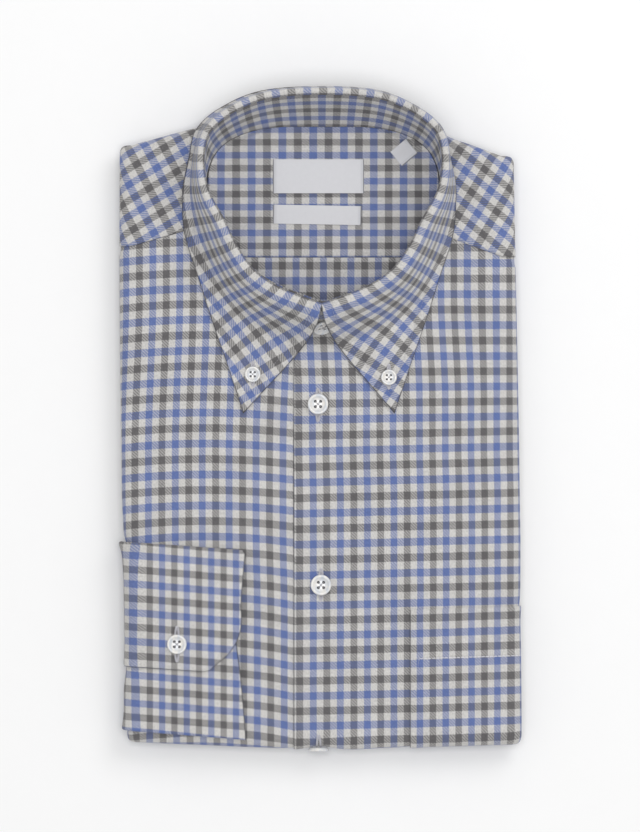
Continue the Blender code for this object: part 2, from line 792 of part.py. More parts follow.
def closed_solid(name, bm, collection, look):
    bmesh.ops.holes_fill(bm, edges=[edge for edge in bm.edges if edge.is_boundary], sides=0)
    bmesh.ops.recalc_face_normals(bm, faces=bm.faces[:])
    mesh = bpy.data.meshes.new(name)
    bm.to_mesh(mesh)
    bm.free()
    return add_object(name, mesh, collection, look)


def extrude_boundary(bm):
    """A new ring of vertices on the open edge, in place of the old ones."""
    border = [edge for edge in bm.edges if edge.is_boundary]
    grown = bmesh.ops.extrude_edge_only(bm, edges=border)
    return [item for item in grown["geom"] if isinstance(item, bmesh.types.BMVert)]


def build_body():
    overs = roll_overs(math.radians(120), 4)
    columns = [column * MM for column in BODY_COLUMNS]
    across = [("left", -over) for over in reversed(overs)] + [("left", 0.0)]
    across += [("flat", column) for column in columns]
    across += [("right", over) for over in [0.0] + overs]
    along = [("bottom", -over) for over in reversed(overs)] + [("bottom", 0.0)]
    along += [("flat", level) for level in reversed(LEVELS)]
    along += [("over", share) for share in (0.35, 0.7)]
    along += [("top", over) for over in [0.0] + overs]

    def flat_place(column, row):
        def column_x(y):
            if column[0] == "left":
                return left_edge(y) + ROLL
            if column[0] == "right":
                return right_edge(y) - ROLL
            return column[1]

        def row_y(x):
            top = look_up(TOP_EDGE, x) - ROLL
            if row[0] == "bottom":
                return look_up(BOTTOM_EDGE, x) + ROLL
            if row[0] == "top":
                return top
            if row[0] == "over":
                return between(LEVELS[0], top, row[1])
            return row[1]

        y = row_y(column_x(0.0))
        x = column_x(y)
        y = row_y(x)
        x += column[1] if column[0] != "flat" else 0.0
        y += row[1] if row[0] in ("bottom", "top") else 0.0
        return Vector((x, y, 0.0))

    bm = grid_bmesh(flat_place, across, along)
    cloth = bm.verts.layers.float_vector.new("cloth")
    for vertex in bm.verts:
        vertex[cloth] = vertex.co
        vertex.co = drape(vertex.co.x, vertex.co.y, -WALL / 2 - 3 * GAP)
    for height, inset in LAYER_EDGES:
        for vertex in extrude_boundary(bm):
            place = vertex[cloth]
            vertex.co = rim_point(place.x, place.y, inset * MM, height * MM)
    body = closed_solid("folded_body", bm, PARTS, FLANNEL)

    under = inside_surface(SEAM_CLEAR - 4 * GAP, -WALL / 2 - 2 * GAP)
    rows = [BACK_ROWS[0] - 2 * GAP] + BACK_ROWS[1:] + YOKE_ROWS[1:-1] + [YOKE_ROWS[-1] + 2 * GAP]
    bm = grid_bmesh(under, INSIDE_SHARES, rows)
    for vertex in extrude_boundary(bm):
        vertex.co.z = BODY_Z + 10 * MM
    cutter = closed_solid("neck_cutter", bm, CUTTERS, FLANNEL)
    cutter.hide_render = True
    cutter.display_type = "WIRE"
    cut = body.modifiers.new("neck", "BOOLEAN")
    cut.operation = "DIFFERENCE"
    cut.object = cutter


# === buttons =============================================================================

def face_frame(surface, a, b, step_a, step_b, height):
    """A placing matrix on a sheet at (a, b): z square to it, upward, and y towards the neck."""
    here = surface(a, b)
    across = surface(a + step_a, b) - here
    along = surface(a, b + step_b) - here
    normal = across.cross(along).normalized()
    if normal.z < 0:
        normal.negate()
    side = Vector((0, 1, 0)).cross(normal).normalized()
    ahead = normal.cross(side)
    turned = Matrix((side, ahead, normal)).transposed().to_4x4()
    return Matrix.Translation(here + normal * height) @ turned


def build_button(name, radius, placing):
    """A four-hole button: a turned disc with a rim, and its thread holes cut through."""
    offset = HOLE_OFFSET * radius
    bm = bmesh.new()
    profile = [bm.verts.new((share * radius, 0.0, height * radius)) for share, height in BUTTON_SHAPE]
    for low, high in zip(profile, profile[1:]):
        bm.edges.new((low, high))
    mesh = bpy.data.meshes.new(name)
    bm.to_mesh(mesh)
    bm.free()
    button = add_object(name, mesh, PARTS, PEARL)
    button.matrix_world = placing
    turn = button.modifiers.new("turned", "SCREW")
    turn.steps = BUTTON_SIDES
    turn.render_steps = BUTTON_SIDES
    turn.use_merge_vertices = True
    turn.merge_threshold = 0.00001
    turn.use_normal_calculate = True

    bm = bmesh.new()
    for side_x in (-1, 1):
        for side_y in (-1, 1):
            bmesh.ops.create_cone(
                bm, cap_ends=True, segments=HOLE_SIDES, depth=radius,
                radius1=HOLE_RADIUS * radius, radius2=HOLE_RADIUS * radius,
                matrix=Matrix.Translation((side_x * offset, side_y * offset, 0.0)))
    mesh = bpy.data.meshes.new(name + "_holes")
    bm.to_mesh(mesh)
    bm.free()
    holes = bpy.data.objects.new(name + "_holes", mesh)
    CUTTERS.objects.link(holes)
    holes.parent = button
    holes.hide_render = True
    holes.display_type = "WIRE"
    cut = button.modifiers.new("holes", "BOOLEAN")
    cut.operation = "DIFFERENCE"
    cut.object = holes


def smooth_fall(position, line):
    """The fall between its lines too, for what is placed on it."""
    index = min(int(line), FALL_LINES - 2)
    return fall_surface(position, index).lerp(fall_surface(position, index + 1), line - index)


def fall_near(x, y):
    """The section and line of the fall nearest a place in plan, searched on one collar point."""
    first = 0.0 if x < 0 else LAST_SECTION - 2.0
    tries = [(first + step / 20, line / 10)
             for step in range(41) for line in range(10 * len(CREASE_TURN), 10 * (FALL_LINES - 1) + 1)]

    def distance(place):
        point = smooth_fall(*place)
        return math.hypot(point.x - x, point.y - y)

    return min(tries, key=distance)


def build_buttons():
    for name, x, y in COLLAR_BUTTONS:
        position, line = fall_near(x * MM, y * MM)
        step = 0.2 if x < 0 else -0.2
        placing = face_frame(smooth_fall, position, line, step, -0.3, COLLAR_WALL / 2 + BUTTON_GAP)
        build_button(name, COLLAR_BUTTON_R, placing)

    placing = face_frame(stand_surface, LAST_SECTION, STAND_BUTTON_UP, -0.2, 0.2,
                         COLLAR_WALL / 2 + BUTTON_GAP)
    build_button("stand_button", FRONT_BUTTON_R, placing)

    for name, radius, x, y, lift in PANEL_BUTTONS:
        def panel(across, along):
            return drape(across, along, lift)

        placing = face_frame(panel, x * MM, y * MM, MM, MM, WALL / 2 + BUTTON_GAP)
        build_button(name, radius, placing)


# === build ===============================================================================

for old in list(bpy.data.objects):
    bpy.data.objects.remove(old, do_unlink=True)

PARTS = new_collection("folded_shirt")
CUTTERS = new_collection("cutters")

build_body()
build_fronts()
build_yokes()
build_inside()
build_labels()
build_collar()
build_pocket()
build_cuff()
build_sleeve()
build_buttons()
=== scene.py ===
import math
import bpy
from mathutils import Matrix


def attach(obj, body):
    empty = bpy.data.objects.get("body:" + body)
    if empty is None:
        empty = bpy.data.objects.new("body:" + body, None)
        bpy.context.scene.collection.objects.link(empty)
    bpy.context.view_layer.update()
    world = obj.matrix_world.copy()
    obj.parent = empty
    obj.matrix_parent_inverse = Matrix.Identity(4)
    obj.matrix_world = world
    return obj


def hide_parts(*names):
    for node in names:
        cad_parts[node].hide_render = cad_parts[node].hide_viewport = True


bl_info = {
    "name": "Folded Check Shirt",
    "version": (1, 0, 0),
    "blender": (4, 5, 0),
    "location": "3D View > Sidebar > Folded Shirt",
    "description": "Makes a folded button-down check shirt, its materials and its stage",
    "category": "Object",
}

import bmesh
import bpy
import numpy as np
from mathutils import Vector

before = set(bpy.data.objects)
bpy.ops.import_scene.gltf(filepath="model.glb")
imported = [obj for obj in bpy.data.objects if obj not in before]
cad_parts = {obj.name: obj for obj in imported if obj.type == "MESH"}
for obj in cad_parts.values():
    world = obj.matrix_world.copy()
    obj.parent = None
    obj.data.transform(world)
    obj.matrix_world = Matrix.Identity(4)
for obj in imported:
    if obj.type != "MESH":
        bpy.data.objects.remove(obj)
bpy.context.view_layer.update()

MM = 0.001                 # a millimetre in metres
FLOOR_HALF = 2500.0        # half the floor's side, in millimetres

# === the folded package, in millimetres ===

WALL = 1.0                 # cloth walls in the frame, which the layers are spaced by
GAP = 0.3
LAYER = WALL + GAP
COLLAR_WALL = 1.3
ROLL = 7.0                 # radius of the roll at the fronts' folded edges
EASE_TURN = math.radians(135)
LAST_TURN = math.radians(172)
CORNER_POWER = 4.0         # how square the package's corners are
HALF_ROUND = np.linspace(0.0, math.pi * ROLL, 15)[1:]  # lengths of cloth past a fold
SETTLING_ROUNDS = 3        # how often x and y, which lean on each other, are found again
BODY_Z = 21.0              # height of the fronts' cloth beside its rolled edges
CROWN = 1.5                # how much higher it is in the middle
CROWN_HALF_WIDTH = 115.0
CROWN_HALF_LENGTH = 195.0

SIDE_EDGES = (
    # y, left edge x, right edge x
    (-181, -108.9, 111.2), (-176, -108.8, 111.4), (-165, -107.6, 111.4), (-150, -107.3, 111.3),
    (-141, -106.2, 111.2), (-130, -105.6, 111.1), (-110, -105.7, 110.9), (-100, -105.9, 111.8),
    (-84, -106.4, 112.1), (-74, -107.6, 112.1), (-66, -110.3, 112.1), (-56, -111.1, 111.9),
    (-12, -112, 111.3), (90, -113, 109.3), (143, -112.9, 108.3),
)
TOP_EDGE = (
    # x, y of the shoulder fold
    (-113, 149.5), (-103, 153.7), (-96, 155.6), (-76, 161), (-69, 162.8), (-60, 165.5), (-46, 171),
    (-28, 175), (0, 176), (28, 175), (46, 171), (60, 164.5), (71, 157.9), (85, 152.8), (98, 148),
    (109, 143.6),
)
BOTTOM_EDGE = (
    # x, y of the tail fold
    (-107, -180.9), (-90, -181.7), (-62, -182.9), (-36, -184), (-14, -184), (-1, -182),
    (12, -183.7), (32, -184.2), (43, -184), (54, -183), (80, -182), (113, -181),
)
YOKE_SEAM = (
    # x, y of the seam between the fronts and the yoke
    (-130, 89.3), (-60, 109.5), (60, 104.5), (130, 80.4),
)
NECKLINE = (
    # x, y of the fronts' neck edge, just outside the stand
    (-65.5, 114), (-62.5, 101), (-57, 88), (-44, 68.3), (-25.5, 53.6), (-12, 48.6), (1, 46.6),
    (14, 48.6), (27.5, 53.6), (46, 68.3), (59, 88), (65, 101), (67.8, 114),
)
EDGE_SHADE_REACH = 3.0     # past this an edge's distance isn't told apart
FAINT_STITCH = 0.12        # strength of the stitches that match the cloth
NO_STITCH = 99.0           # further from an edge than its stitches reach
RIB_LENGTH = 1.7           # of the twill's ribs, and of the weave across them
PICK_LENGTH = 0.95
YOKE_FLAT = (150.0, 105.0)  # width and length of the flat cut; and so on for the others
INSIDE_FLAT_WIDTH = 136.0
FALL_FLAT = (466.0, 79.0)
STAND_FLAT = (450.0, 38.0)
CUFF_FLAT_WIDTH = 72.0
SLEEVE_FLAT_WIDTH = 101.0
SEAM_LAP = 3.0             # how far the fronts run on under the yoke
SEAM_SINK = 0.75           # and how far under it they lie
CREASES = (
    # soft folds of the pressed top layers: x, y of each end, half width, height
    (-62, 92, -84, 52, 9, -0.55), (-101, 66, -74, 22, 7, 0.45), (-48, 20, -60, -38, 11, -0.5),
    (-24, -8, -30, -74, 8, 0.45), (-96, -8, -92, -58, 6, -0.4), (-36, -150, -28, -100, 6, 0.4),
    (66, 88, 92, 48, 9, -0.5), (96, 76, 88, 18, 6.5, 0.4), (40, 14, 52, -52, 12, -0.5),
    (20, -22, 30, -84, 8, 0.4), (60, -88, 98, -80, 6, 0.6), (53, -78, 57, -104, 5, -0.9),
    (14, -120, 36, -166, 9, -0.5), (60, -150, 96, -142, 8, -0.4), (86, -112, 94, -176, 7, 0.35),
    (98, 8, 104, -46, 5, 0.4),
)
UNDER_CREASES = (
    # the same on the underside, as grooves up into the package, so that it still lies flat
    (-82, -120, -58, 30, 8, 0.8), (76, -96, 60, 64, 7, 0.7), (-20, -160, 10, -60, 10, 0.6),
    (30, 20, -14, 96, 9, 0.7), (94, -30, 88, 90, 5, 0.9), (-96, 40, -74, 100, 6, 0.6),
)

# === the collar ===

COLLAR = (
    # half of it from the front to the nape: seam x, y; crest x, y, z; fall's edge x, y, z,
    # where 0 means that it lies on the panel; how far the edge runs on past its crest place
    # in the flat cut, towards the front; plan width of the steep part of the fall; and the
    # fall's depth in the flat cut
    (0, 49.3, 0.35, 61.2, 47.5, 42.3, 2.8, 0, 24.3, 28, 78.3),
    (25, 55.5, 24, 70, 49, 51, 29, 0, 20.4, 26, 71),
    (43, 70, 39.8, 80.3, 50.5, 61, 58, 0, 9, 22, 60),
    (56.5, 90, 50.2, 94.3, 52, 68, 80, 0, 4.4, 18, 52),
    (63.5, 109, 57.9, 110, 53, 75.2, 103, 0, 3, 14, 47.5),
    (65.6, 126, 66.6, 126.5, 53.5, 76.6, 126, 0, 1, 8, 45),
    (65, 139.5, 69.2, 144, 53.5, 73, 146, 0, 0, 4.2, 44.5),
    (59, 151.5, 65.9, 160.1, 53, 68.9, 161.9, 21.5, 0, 3.6, 44),
    (47, 159.5, 52.4, 172.4, 52.5, 54.7, 174.8, 11, 0, 3.4, 44),
    (28, 164, 31.2, 181, 52, 32.5, 184.1, 9.5, 0, 3.3, 44),
    (0, 164.6, 0, 183.4, 52, 0, 186.6, 9, 0, 3.1, 44),
)
FALL_CURVE = (
    # share of the steep part's width, and share of the drop that is left there
    (0, 1), (0.1, 0.975), (0.2, 0.9), (0.35, 0.7), (0.5, 0.48), (0.65, 0.27), (0.8, 0.1),
    (0.92, 0.02), (1, 0),
)
FRONT_HANG = (-2.4, -7.0)  # how the leaves' front edges hang from the crest, and lean in
FRONT_LEAN = (-4.7, 1.2)   # before the points
NECK_SHIFT = 1.3           # neck and collar sit a little to the wearer's left
FALL_SHIFT = -1.0          # and the collar points to the right
CREASE_IN = 2.7            # the fall's crease, inside and below its crest
CREASE_DOWN = 2.4
CREASE_GAP = 1.0
CREASE_TURN = ((1.0, 1.0), (0.86, 0.42), (0.42, 0.07))
CREST_REACH = 1.5
CREST_ROUNDNESS = 0.1
EDGE_REST = 20.0
EDGE_FLATNESS = 0.45
END_STRETCH = 0.05
STAND_LAP = 0.6
LAP_OFFSET = 1.3
LAP_BLEND = (0.5, 2.5)
STAND_BOW = 1.0
COLLAR_CLOTH = 1.0 * MM    # thickness of the collar's lined cloth
LAP_LENGTH = 25.0          # of the stand's cloth past its ends, for each section
LEAF_ROW = 16              # the fall's rows from here on are past its crest

# === inside the neck ===

SEAM_CLEAR = COLLAR_WALL / 2 + 0.9
BACK_SEAM_Y = 90.3
INSIDE_FRONT_Y = 50.0
INSIDE_NAPE_Y = 164.5
FLOOR_FRONT = 9.5
FLOOR_RISE = 8.0
FLOOR_CURVE = 1.3
RIM_RISE_WIDTH = 8.0
NAPE_STEEPNESS = 1.5
RIM_DROP = 1.6
LABELS = (
    # name, node, middle x, y, width, height, turn in degrees
    ("main_label", "neck_label", -1.3, 135.8, 51, 19, 0),
    ("second_label", "origin_label", -2, 114.2, 49.5, 10.6, -1),
    ("size_label", "size_tab", 46.6, 149, 11.2, 10.4, 40),
)

# === what lies on the fronts ===

LAP_EDGE_X = -15.2         # left front's edge, over the right front
LAP_UNDER_X = 11.0         # right front's edge, under the left front
LAP_EASE = 30.0
POCKET_LEFT_X = 50.0
POCKET_TOP_Y = -107.0
POCKET_TOP_SLOPE = 0.03
POCKET_LIFT = LAYER + 0.2
POCKET_HEM = 27.5          # depth of the hem under the pocket's top edge
CUFF_HAND_EDGE = (
    # y, x of the lapped part's hand edge and rounded corner
    (-139, -69), (-138.4, -65), (-135.6, -60), (-131.6, -55.3), (-126.9, -50.8), (-119.6, -46.6),
    (-95, -44.4), (-71, -42.4),
)
CUFF_UNDER_EDGE = (
    # the same of the part under it
    (-173.5, -41.9), (-136.6, -45.2), (-119, -47.4), (-71, -43.4),
)
CUFF_TOP_Y = -71.0
CUFF_END_Y = -139.0
CUFF_TUCK_Y = -122.0
CUFF_BOTTOM_Y = -173.5
CUFF_LIFTS = (1.5, 3.1, 4.7)
CUFF_SLOPE = -0.07
CUFF_WRAP = math.radians(85)
SLEEVE_WRAP = math.radians(139)
SLEEVE_LIFT = 2.1

# === the folded layers under the fronts ===

FOLDED_LAYERS = (
    # name, height of the lower and upper cloth, inset of the edge, lowest and highest y
    ("folded_tail", 0.42, 2.9, 2.4, None, 118), ("folded_back", 1.75, 3.9, 3, -150, None),
    ("folded_sleeves", 4.3, 6.3, 1.9, None, None),
)

LAYER_CORNER = 9.0         # radius of the layers' corners in plan

# === buttons ===

FRONT_BUTTON = 5.8         # radii
COLLAR_BUTTON = 4.4
CUFF_BUTTON = 5.5
BUTTON_GAP = GAP + 0.2
COLLAR_BUTTONS = (
    # name, x, y
    ("collar_button_right", -38.5, 23.8), ("collar_button_left", 37.1, 22.7),
)
PANEL_BUTTONS = (
    # name, radius, x, y, lift of the cloth under it, reach of its hole above and below
    ("front_button_1", FRONT_BUTTON, -1.6, 8.1, LAYER, 8.6, 9.4),
    ("front_button_2", FRONT_BUTTON, 0.1, -93.2, LAYER, 8.8, 8.2),
    ("front_button_3", FRONT_BUTTON, -1.2, -186.3, LAYER + 0.3, 9.4, 8.4),
    ("cuff_button", CUFF_BUTTON, -80.5, -126.3, CUFF_LIFTS[2], 9.6, 9.6),
)
STAND_BUTTON_UP = 0.36
BUTTON_RIM = (
    # radius and height, as parts of the button's radius, from the middle of the face
    (0, 0.20), (0.40, 0.205), (0.60, 0.235), (0.72, 0.33), (0.82, 0.385), (0.92, 0.375),
    (0.98, 0.33), (1, 0.26), (0.985, 0.16), (0.90, 0.05), (0.78, 0), (0.40, -0.01), (0, -0.01),
)
HOLE_OFFSET = 0.26          # parts of the button's radius
HOLE_RADIUS = 0.15
HOLE_DEPTH = 0.18

# === the woven check: how many repeats the cloth has run at each place ===

RIGHT_ROWS = ((-167.3, 0.0), (-66.1, 6.0), (90.1, 15.0))
LEFT_COLUMNS = ((-4.2, 0.0), (26.1, 2.0), (55.8, 4.0), (99.0, 7.0))
LEFT_ROWS = ((-171.0, 0.0), (-86.6, 5.0), (87.0, 15.0))
YOKE_INSIDE_COLUMNS = ((-56.1, 0.0), (13.0, 4.0), (63.1, 7.0))
COLLAR_WARP = 17.7         # repeats on the collar, along and down it
COLLAR_WEFT = 15.3
CUFF_WARP = 13.78          # along the cuff and the sleeve
PACKAGE_WARP = 15.1        # and on the folded layers
PACKAGE_WEFT = 17.4


# === curves and surfaces ===

def between(a, b, share):
    """The value that is a share of the way from a to b."""
    return a + (b - a) * share


def smoothstep(low, high, value):
    """0 at low and 1 at high, with level ends: 3s^2 - 2s^3 of the clipped share s."""
    share = np.clip((value - low) / (high - low), 0.0, 1.0)
    return share * share * (3.0 - 2.0 * share)


def look_up(table, value, column=1):
    """A table's column at values of its first column, on cubic curves through its rows."""
    rows = np.array(table, dtype=float)
    places, heights = rows[:, 0], rows[:, column]
    slopes = np.gradient(heights, places)
    value = np.clip(value, places[0], places[-1])
    low = np.clip(np.searchsorted(places, value) - 1, 0, len(places) - 2)
    step = places[low + 1] - places[low]
    share = (value - places[low]) / step
    rest = 1.0 - share
    near = heights[low] * (1.0 + 2.0 * share) + slopes[low] * step * share
    far = heights[low + 1] * (1.0 + 2.0 * rest) - slopes[low + 1] * step * rest
    return near * rest ** 2 + far * share ** 2


def count_up(table, value):
    """A straight look-up that goes on at the same slope past both ends of its table."""
    rows = np.array(table, dtype=float)
    places, counts = rows[:, 0], rows[:, 1]
    slopes = np.diff(counts) / np.diff(places)
    before = np.minimum(value - places[0], 0.0) * slopes[0]
    after = np.maximum(value - places[-1], 0.0) * slopes[-1]
    return np.interp(value, places, counts) + before + after


def spline(rows, position):
    """The Catmull-Rom curve through equally spaced rows, at an array of positions."""
    rows = np.asarray(rows, dtype=float)
    index = np.clip(np.floor(position).astype(int), 0, len(rows) - 2)
    share = (position - index)[..., None]
    before = rows[np.maximum(index - 1, 0)]
    low, high = rows[index], rows[index + 1]
    after = rows[np.minimum(index + 2, len(rows) - 1)]
    bend = 2 * before - 5 * low + 4 * high - after
    twist = 3 * low - before - 3 * high + after
    return 0.5 * (2 * low + share * (high - before + share * (bend + share * twist)))


def edge_rows(count, fine=(0.0, 0.12, 0.3, 0.6), both=True):
    """Shares from 0 to 1 in even steps, with finer ones next to the edges."""
    step = 1.0 / count
    inner = np.arange(1, count) * step
    near = np.array(fine) * step
    far = 1.0 - near[::-1] if both else np.array([1.0])
    return np.concatenate([near, inner, far])


def past_folds(shares, before=(), after=()):
    """A run across a piece: its shares, held at 0 and 1 past its folds, and the lengths past."""
    before, after = np.asarray(before, dtype=float), np.asarray(after, dtype=float)
    held = np.concatenate([np.zeros(len(before)), shares, np.ones(len(after))])
    past = np.concatenate([-before[::-1], np.zeros(len(shares)), after])
    return held, past


def unit(vectors):
    """Vectors brought to a length of one."""
    return vectors / np.linalg.norm(vectors, axis=-1, keepdims=True)


def lengths_along(points):
    """The length run up to each point of a path, or of each column of a grid."""
    steps = np.linalg.norm(np.diff(points, axis=0), axis=-1)
    return np.concatenate([0.0 * steps[:1], np.cumsum(steps, axis=0)])


def fold_relief(table, x, y):
    """Soft troughs and ridges: for each line, its height times a bell across it and along it.

    The bell across is exp(-(d / half width)^2) of the distance d from the line, which fades
    out over the last stretch before its ends.
    """
    total = np.zeros(np.broadcast(x, y).shape)
    for x1, y1, x2, y2, half_width, height in table:
        length = math.hypot(x2 - x1, y2 - y1)
        ahead = ((x2 - x1) / length, (y2 - y1) / length)
        run = (x - x1) * ahead[0] + (y - y1) * ahead[1]
        aside = (y - y1) * ahead[0] - (x - x1) * ahead[1]
        aside = aside + half_width * 0.35 * np.sin(run / length * 4.0 + x1)
        fade = smoothstep(-0.25, 0.3, run / length) * smoothstep(1.25, 0.6, run / length)
        total = total + height * fade * np.exp(-(aside / half_width) ** 2)
    return total


def yoke_seam(x):
    """The yoke seam's y at x."""
    return np.interp(x, *np.array(YOKE_SEAM).T)


def left_edge(y):
    """The middle of the cloth at the package's left edge, half a wall in from it."""
    return look_up(SIDE_EDGES, y, 1) + WALL / 2


def right_edge(y):
    """The same on the right."""
    return look_up(SIDE_EDGES, y, 2) - WALL / 2


def top_height(x, y):
    """The fronts' middle surface: a low crown, 1 - (x/a)^2 by 1 - (y/b)^2, and the creases."""
    across = np.maximum(1 - (x / CROWN_HALF_WIDTH) ** 2, 0)
    along = np.maximum(1 - (y / CROWN_HALF_LENGTH) ** 2, 0)
    return BODY_Z + CROWN * across * along + fold_relief(CREASES, x, y)


def roll_start(x, y, inset=ROLL):
    """The nearest place on the flat top, and how far x, y go past it each way."""
    flat_y = np.clip(y, look_up(BOTTOM_EDGE, x) + inset, look_up(TOP_EDGE, x) - inset)
    flat_x = np.clip(x, left_edge(flat_y) + inset, right_edge(flat_y) - inset)
    flat_y = np.clip(y, look_up(BOTTOM_EDGE, flat_x) + inset, look_up(TOP_EDGE, flat_x) - inset)
    return flat_x, flat_y, x - flat_x, y - flat_y


def corner_distance(over_x, over_y):
    """How far a place is past the flat: the fourth root of the two distances' fourth powers."""
    power = np.abs(over_x) ** CORNER_POWER + np.abs(over_y) ** CORNER_POWER
    return np.maximum(power ** (1 / CORNER_POWER), 1e-6)


def drape(x, y, lift=0.0):
    """Where cloth lies on the package: flat on top, then round its rolled edge.

    Past the flat it turns by t = distance / ROLL on a circle of radius ROLL + lift. Past
    EASE_TURN it eases off, t = EASE_TURN + rest * (1 - exp(-(t - EASE_TURN) / rest)), so
    that no two places meet underneath.
    """
    flat_x, flat_y, over_x, over_y = roll_start(x, y)
    over = corner_distance(over_x, over_y)
    turn = over / ROLL
    rest = LAST_TURN - EASE_TURN
    eased = EASE_TURN + rest * (1 - np.exp(-np.maximum(turn - EASE_TURN, 0.0) / rest))
    turn = np.minimum(turn, eased)
    reach = (ROLL + lift) * np.sin(turn) / over
    height = top_height(flat_x, flat_y) - ROLL + (ROLL + lift) * np.cos(turn)
    return np.stack([flat_x + over_x * reach, flat_y + over_y * reach, height], -1)


def edge_drop(distance, drop=0.4, width=2.5):
    """How much a free edge comes down to the cloth under it, at a distance from the edge."""
    return -drop * (1 - smoothstep(0.0, width, distance))


def lap_lift(x):
    """The left front lies one layer up where the right front is under it."""
    return LAYER * (1 - smoothstep(LAP_UNDER_X, LAP_UNDER_X + LAP_EASE, x))


def panel_top(x, y):
    """Height of the top face of the fronts and yokes."""
    lift = WALL / 2 + np.where(x > LAP_EDGE_X, lap_lift(x), 0.0)
    return drape(x, y, lift)[..., 2]


# === meshes ===

def quads_of(rows, columns):
    """The corner numbers of a grid's faces, anticlockwise as seen from above the grid."""
    index = np.arange(rows * columns).reshape(rows, columns)
    corners = [index[:-1, :-1], index[:-1, 1:], index[1:, 1:], index[1:, :-1]]
    return np.stack(corners, -1).reshape(-1, 4)


def fill_mesh(name, points, quads, cloth=None, stitch=None):
    """A mesh from whole arrays: points in millimetres, quads, cloth repeats and stitch runs."""
    mesh = bpy.data.meshes.new(name)
    mesh.vertices.add(len(points))
    mesh.vertices.foreach_set("co", (points * MM).ravel())
    mesh.loops.add(quads.size)
    mesh.loops.foreach_set("vertex_index", quads.ravel())
    mesh.polygons.add(len(quads))
    mesh.polygons.foreach_set("loop_start", np.arange(0, quads.size, 4))
    mesh.polygons.foreach_set("use_smooth", np.ones(len(quads), dtype=bool))
    mesh.update(calc_edges=True)
    if cloth is not None:
        layer = mesh.uv_layers.new(name="cloth")
        layer.data.foreach_set("uv", cloth.reshape(-1, 2)[quads.ravel()].ravel())
    if stitch is not None:
        layer = mesh.attributes.new("stitch", "FLOAT_VECTOR", "POINT")
        layer.data.foreach_set("vector", stitch.reshape(-1, 3).ravel())
    return mesh


def add_piece(name, mesh, material, nodes=()):
    """A finished object on the frame's body, in place of the nodes that it stands for."""
    piece = bpy.data.objects.new(name, mesh)
    bpy.context.scene.collection.objects.link(piece)
    mesh.materials.append(material)
    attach(piece, "root")
    if nodes:
        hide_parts(*nodes)
    return piece


def stitch_runs(distance, run, strength=FAINT_STITCH):
    """Distance from the sewn edge, length along it, and the stitches' strength, as a vector."""
    return np.stack(np.broadcast_arrays(distance, run, strength), -1)


def faces_down(points):
    """Whether the middle face of a grid points down."""
    row, column = (size // 2 for size in points.shape[:2])
    here = points[row, column]
    return np.cross(points[row, column + 1] - here, points[row + 1, column] - here)[2] <= 0


def cloth_piece(name, node, grids, flat, wall=None,
                material="check flannel", turned=False):
    """A sheet of cloth: the grid of its middle surface, given its wall on both sides.

    The grids hold its points, how far the cloth has run, and its stitches, if it has any.
    Flat is the rectangle, in millimetres, that it is cut from; the smaller of its area and the grid's is
    worked out, but not kept.
    """
    points, cloth, stitch = grids
    area = min(area_of(points), flat[0] * flat[1] * MM ** 2)
    if stitch is None:
        stitch = stitch_runs(np.full(points.shape[:2], NO_STITCH), 0.0)
    if turned or faces_down(points):
        points, cloth, stitch = (grid[:, ::-1] for grid in (points, cloth, stitch))
    mesh = fill_mesh(name, points.reshape(-1, 3), quads_of(*points.shape[:2]), cloth, stitch)
    piece = add_piece(name, mesh, bpy.data.materials[material], (node,))
    solidify = piece.modifiers.new("wall", "SOLIDIFY")
    solidify.thickness = wall or bpy.context.scene.folded_shirt.cloth_wall
    solidify.offset = 0.0


def area_of(points):
    """A grid's area in square metres: half the crossed diagonals of each of its faces."""
    one = points[1:, 1:] - points[:-1, :-1]
    other = points[1:, :-1] - points[:-1, 1:]
    return float(np.linalg.norm(np.cross(one, other), axis=-1).sum()) / 2 * MM ** 2


# === shader groups ===

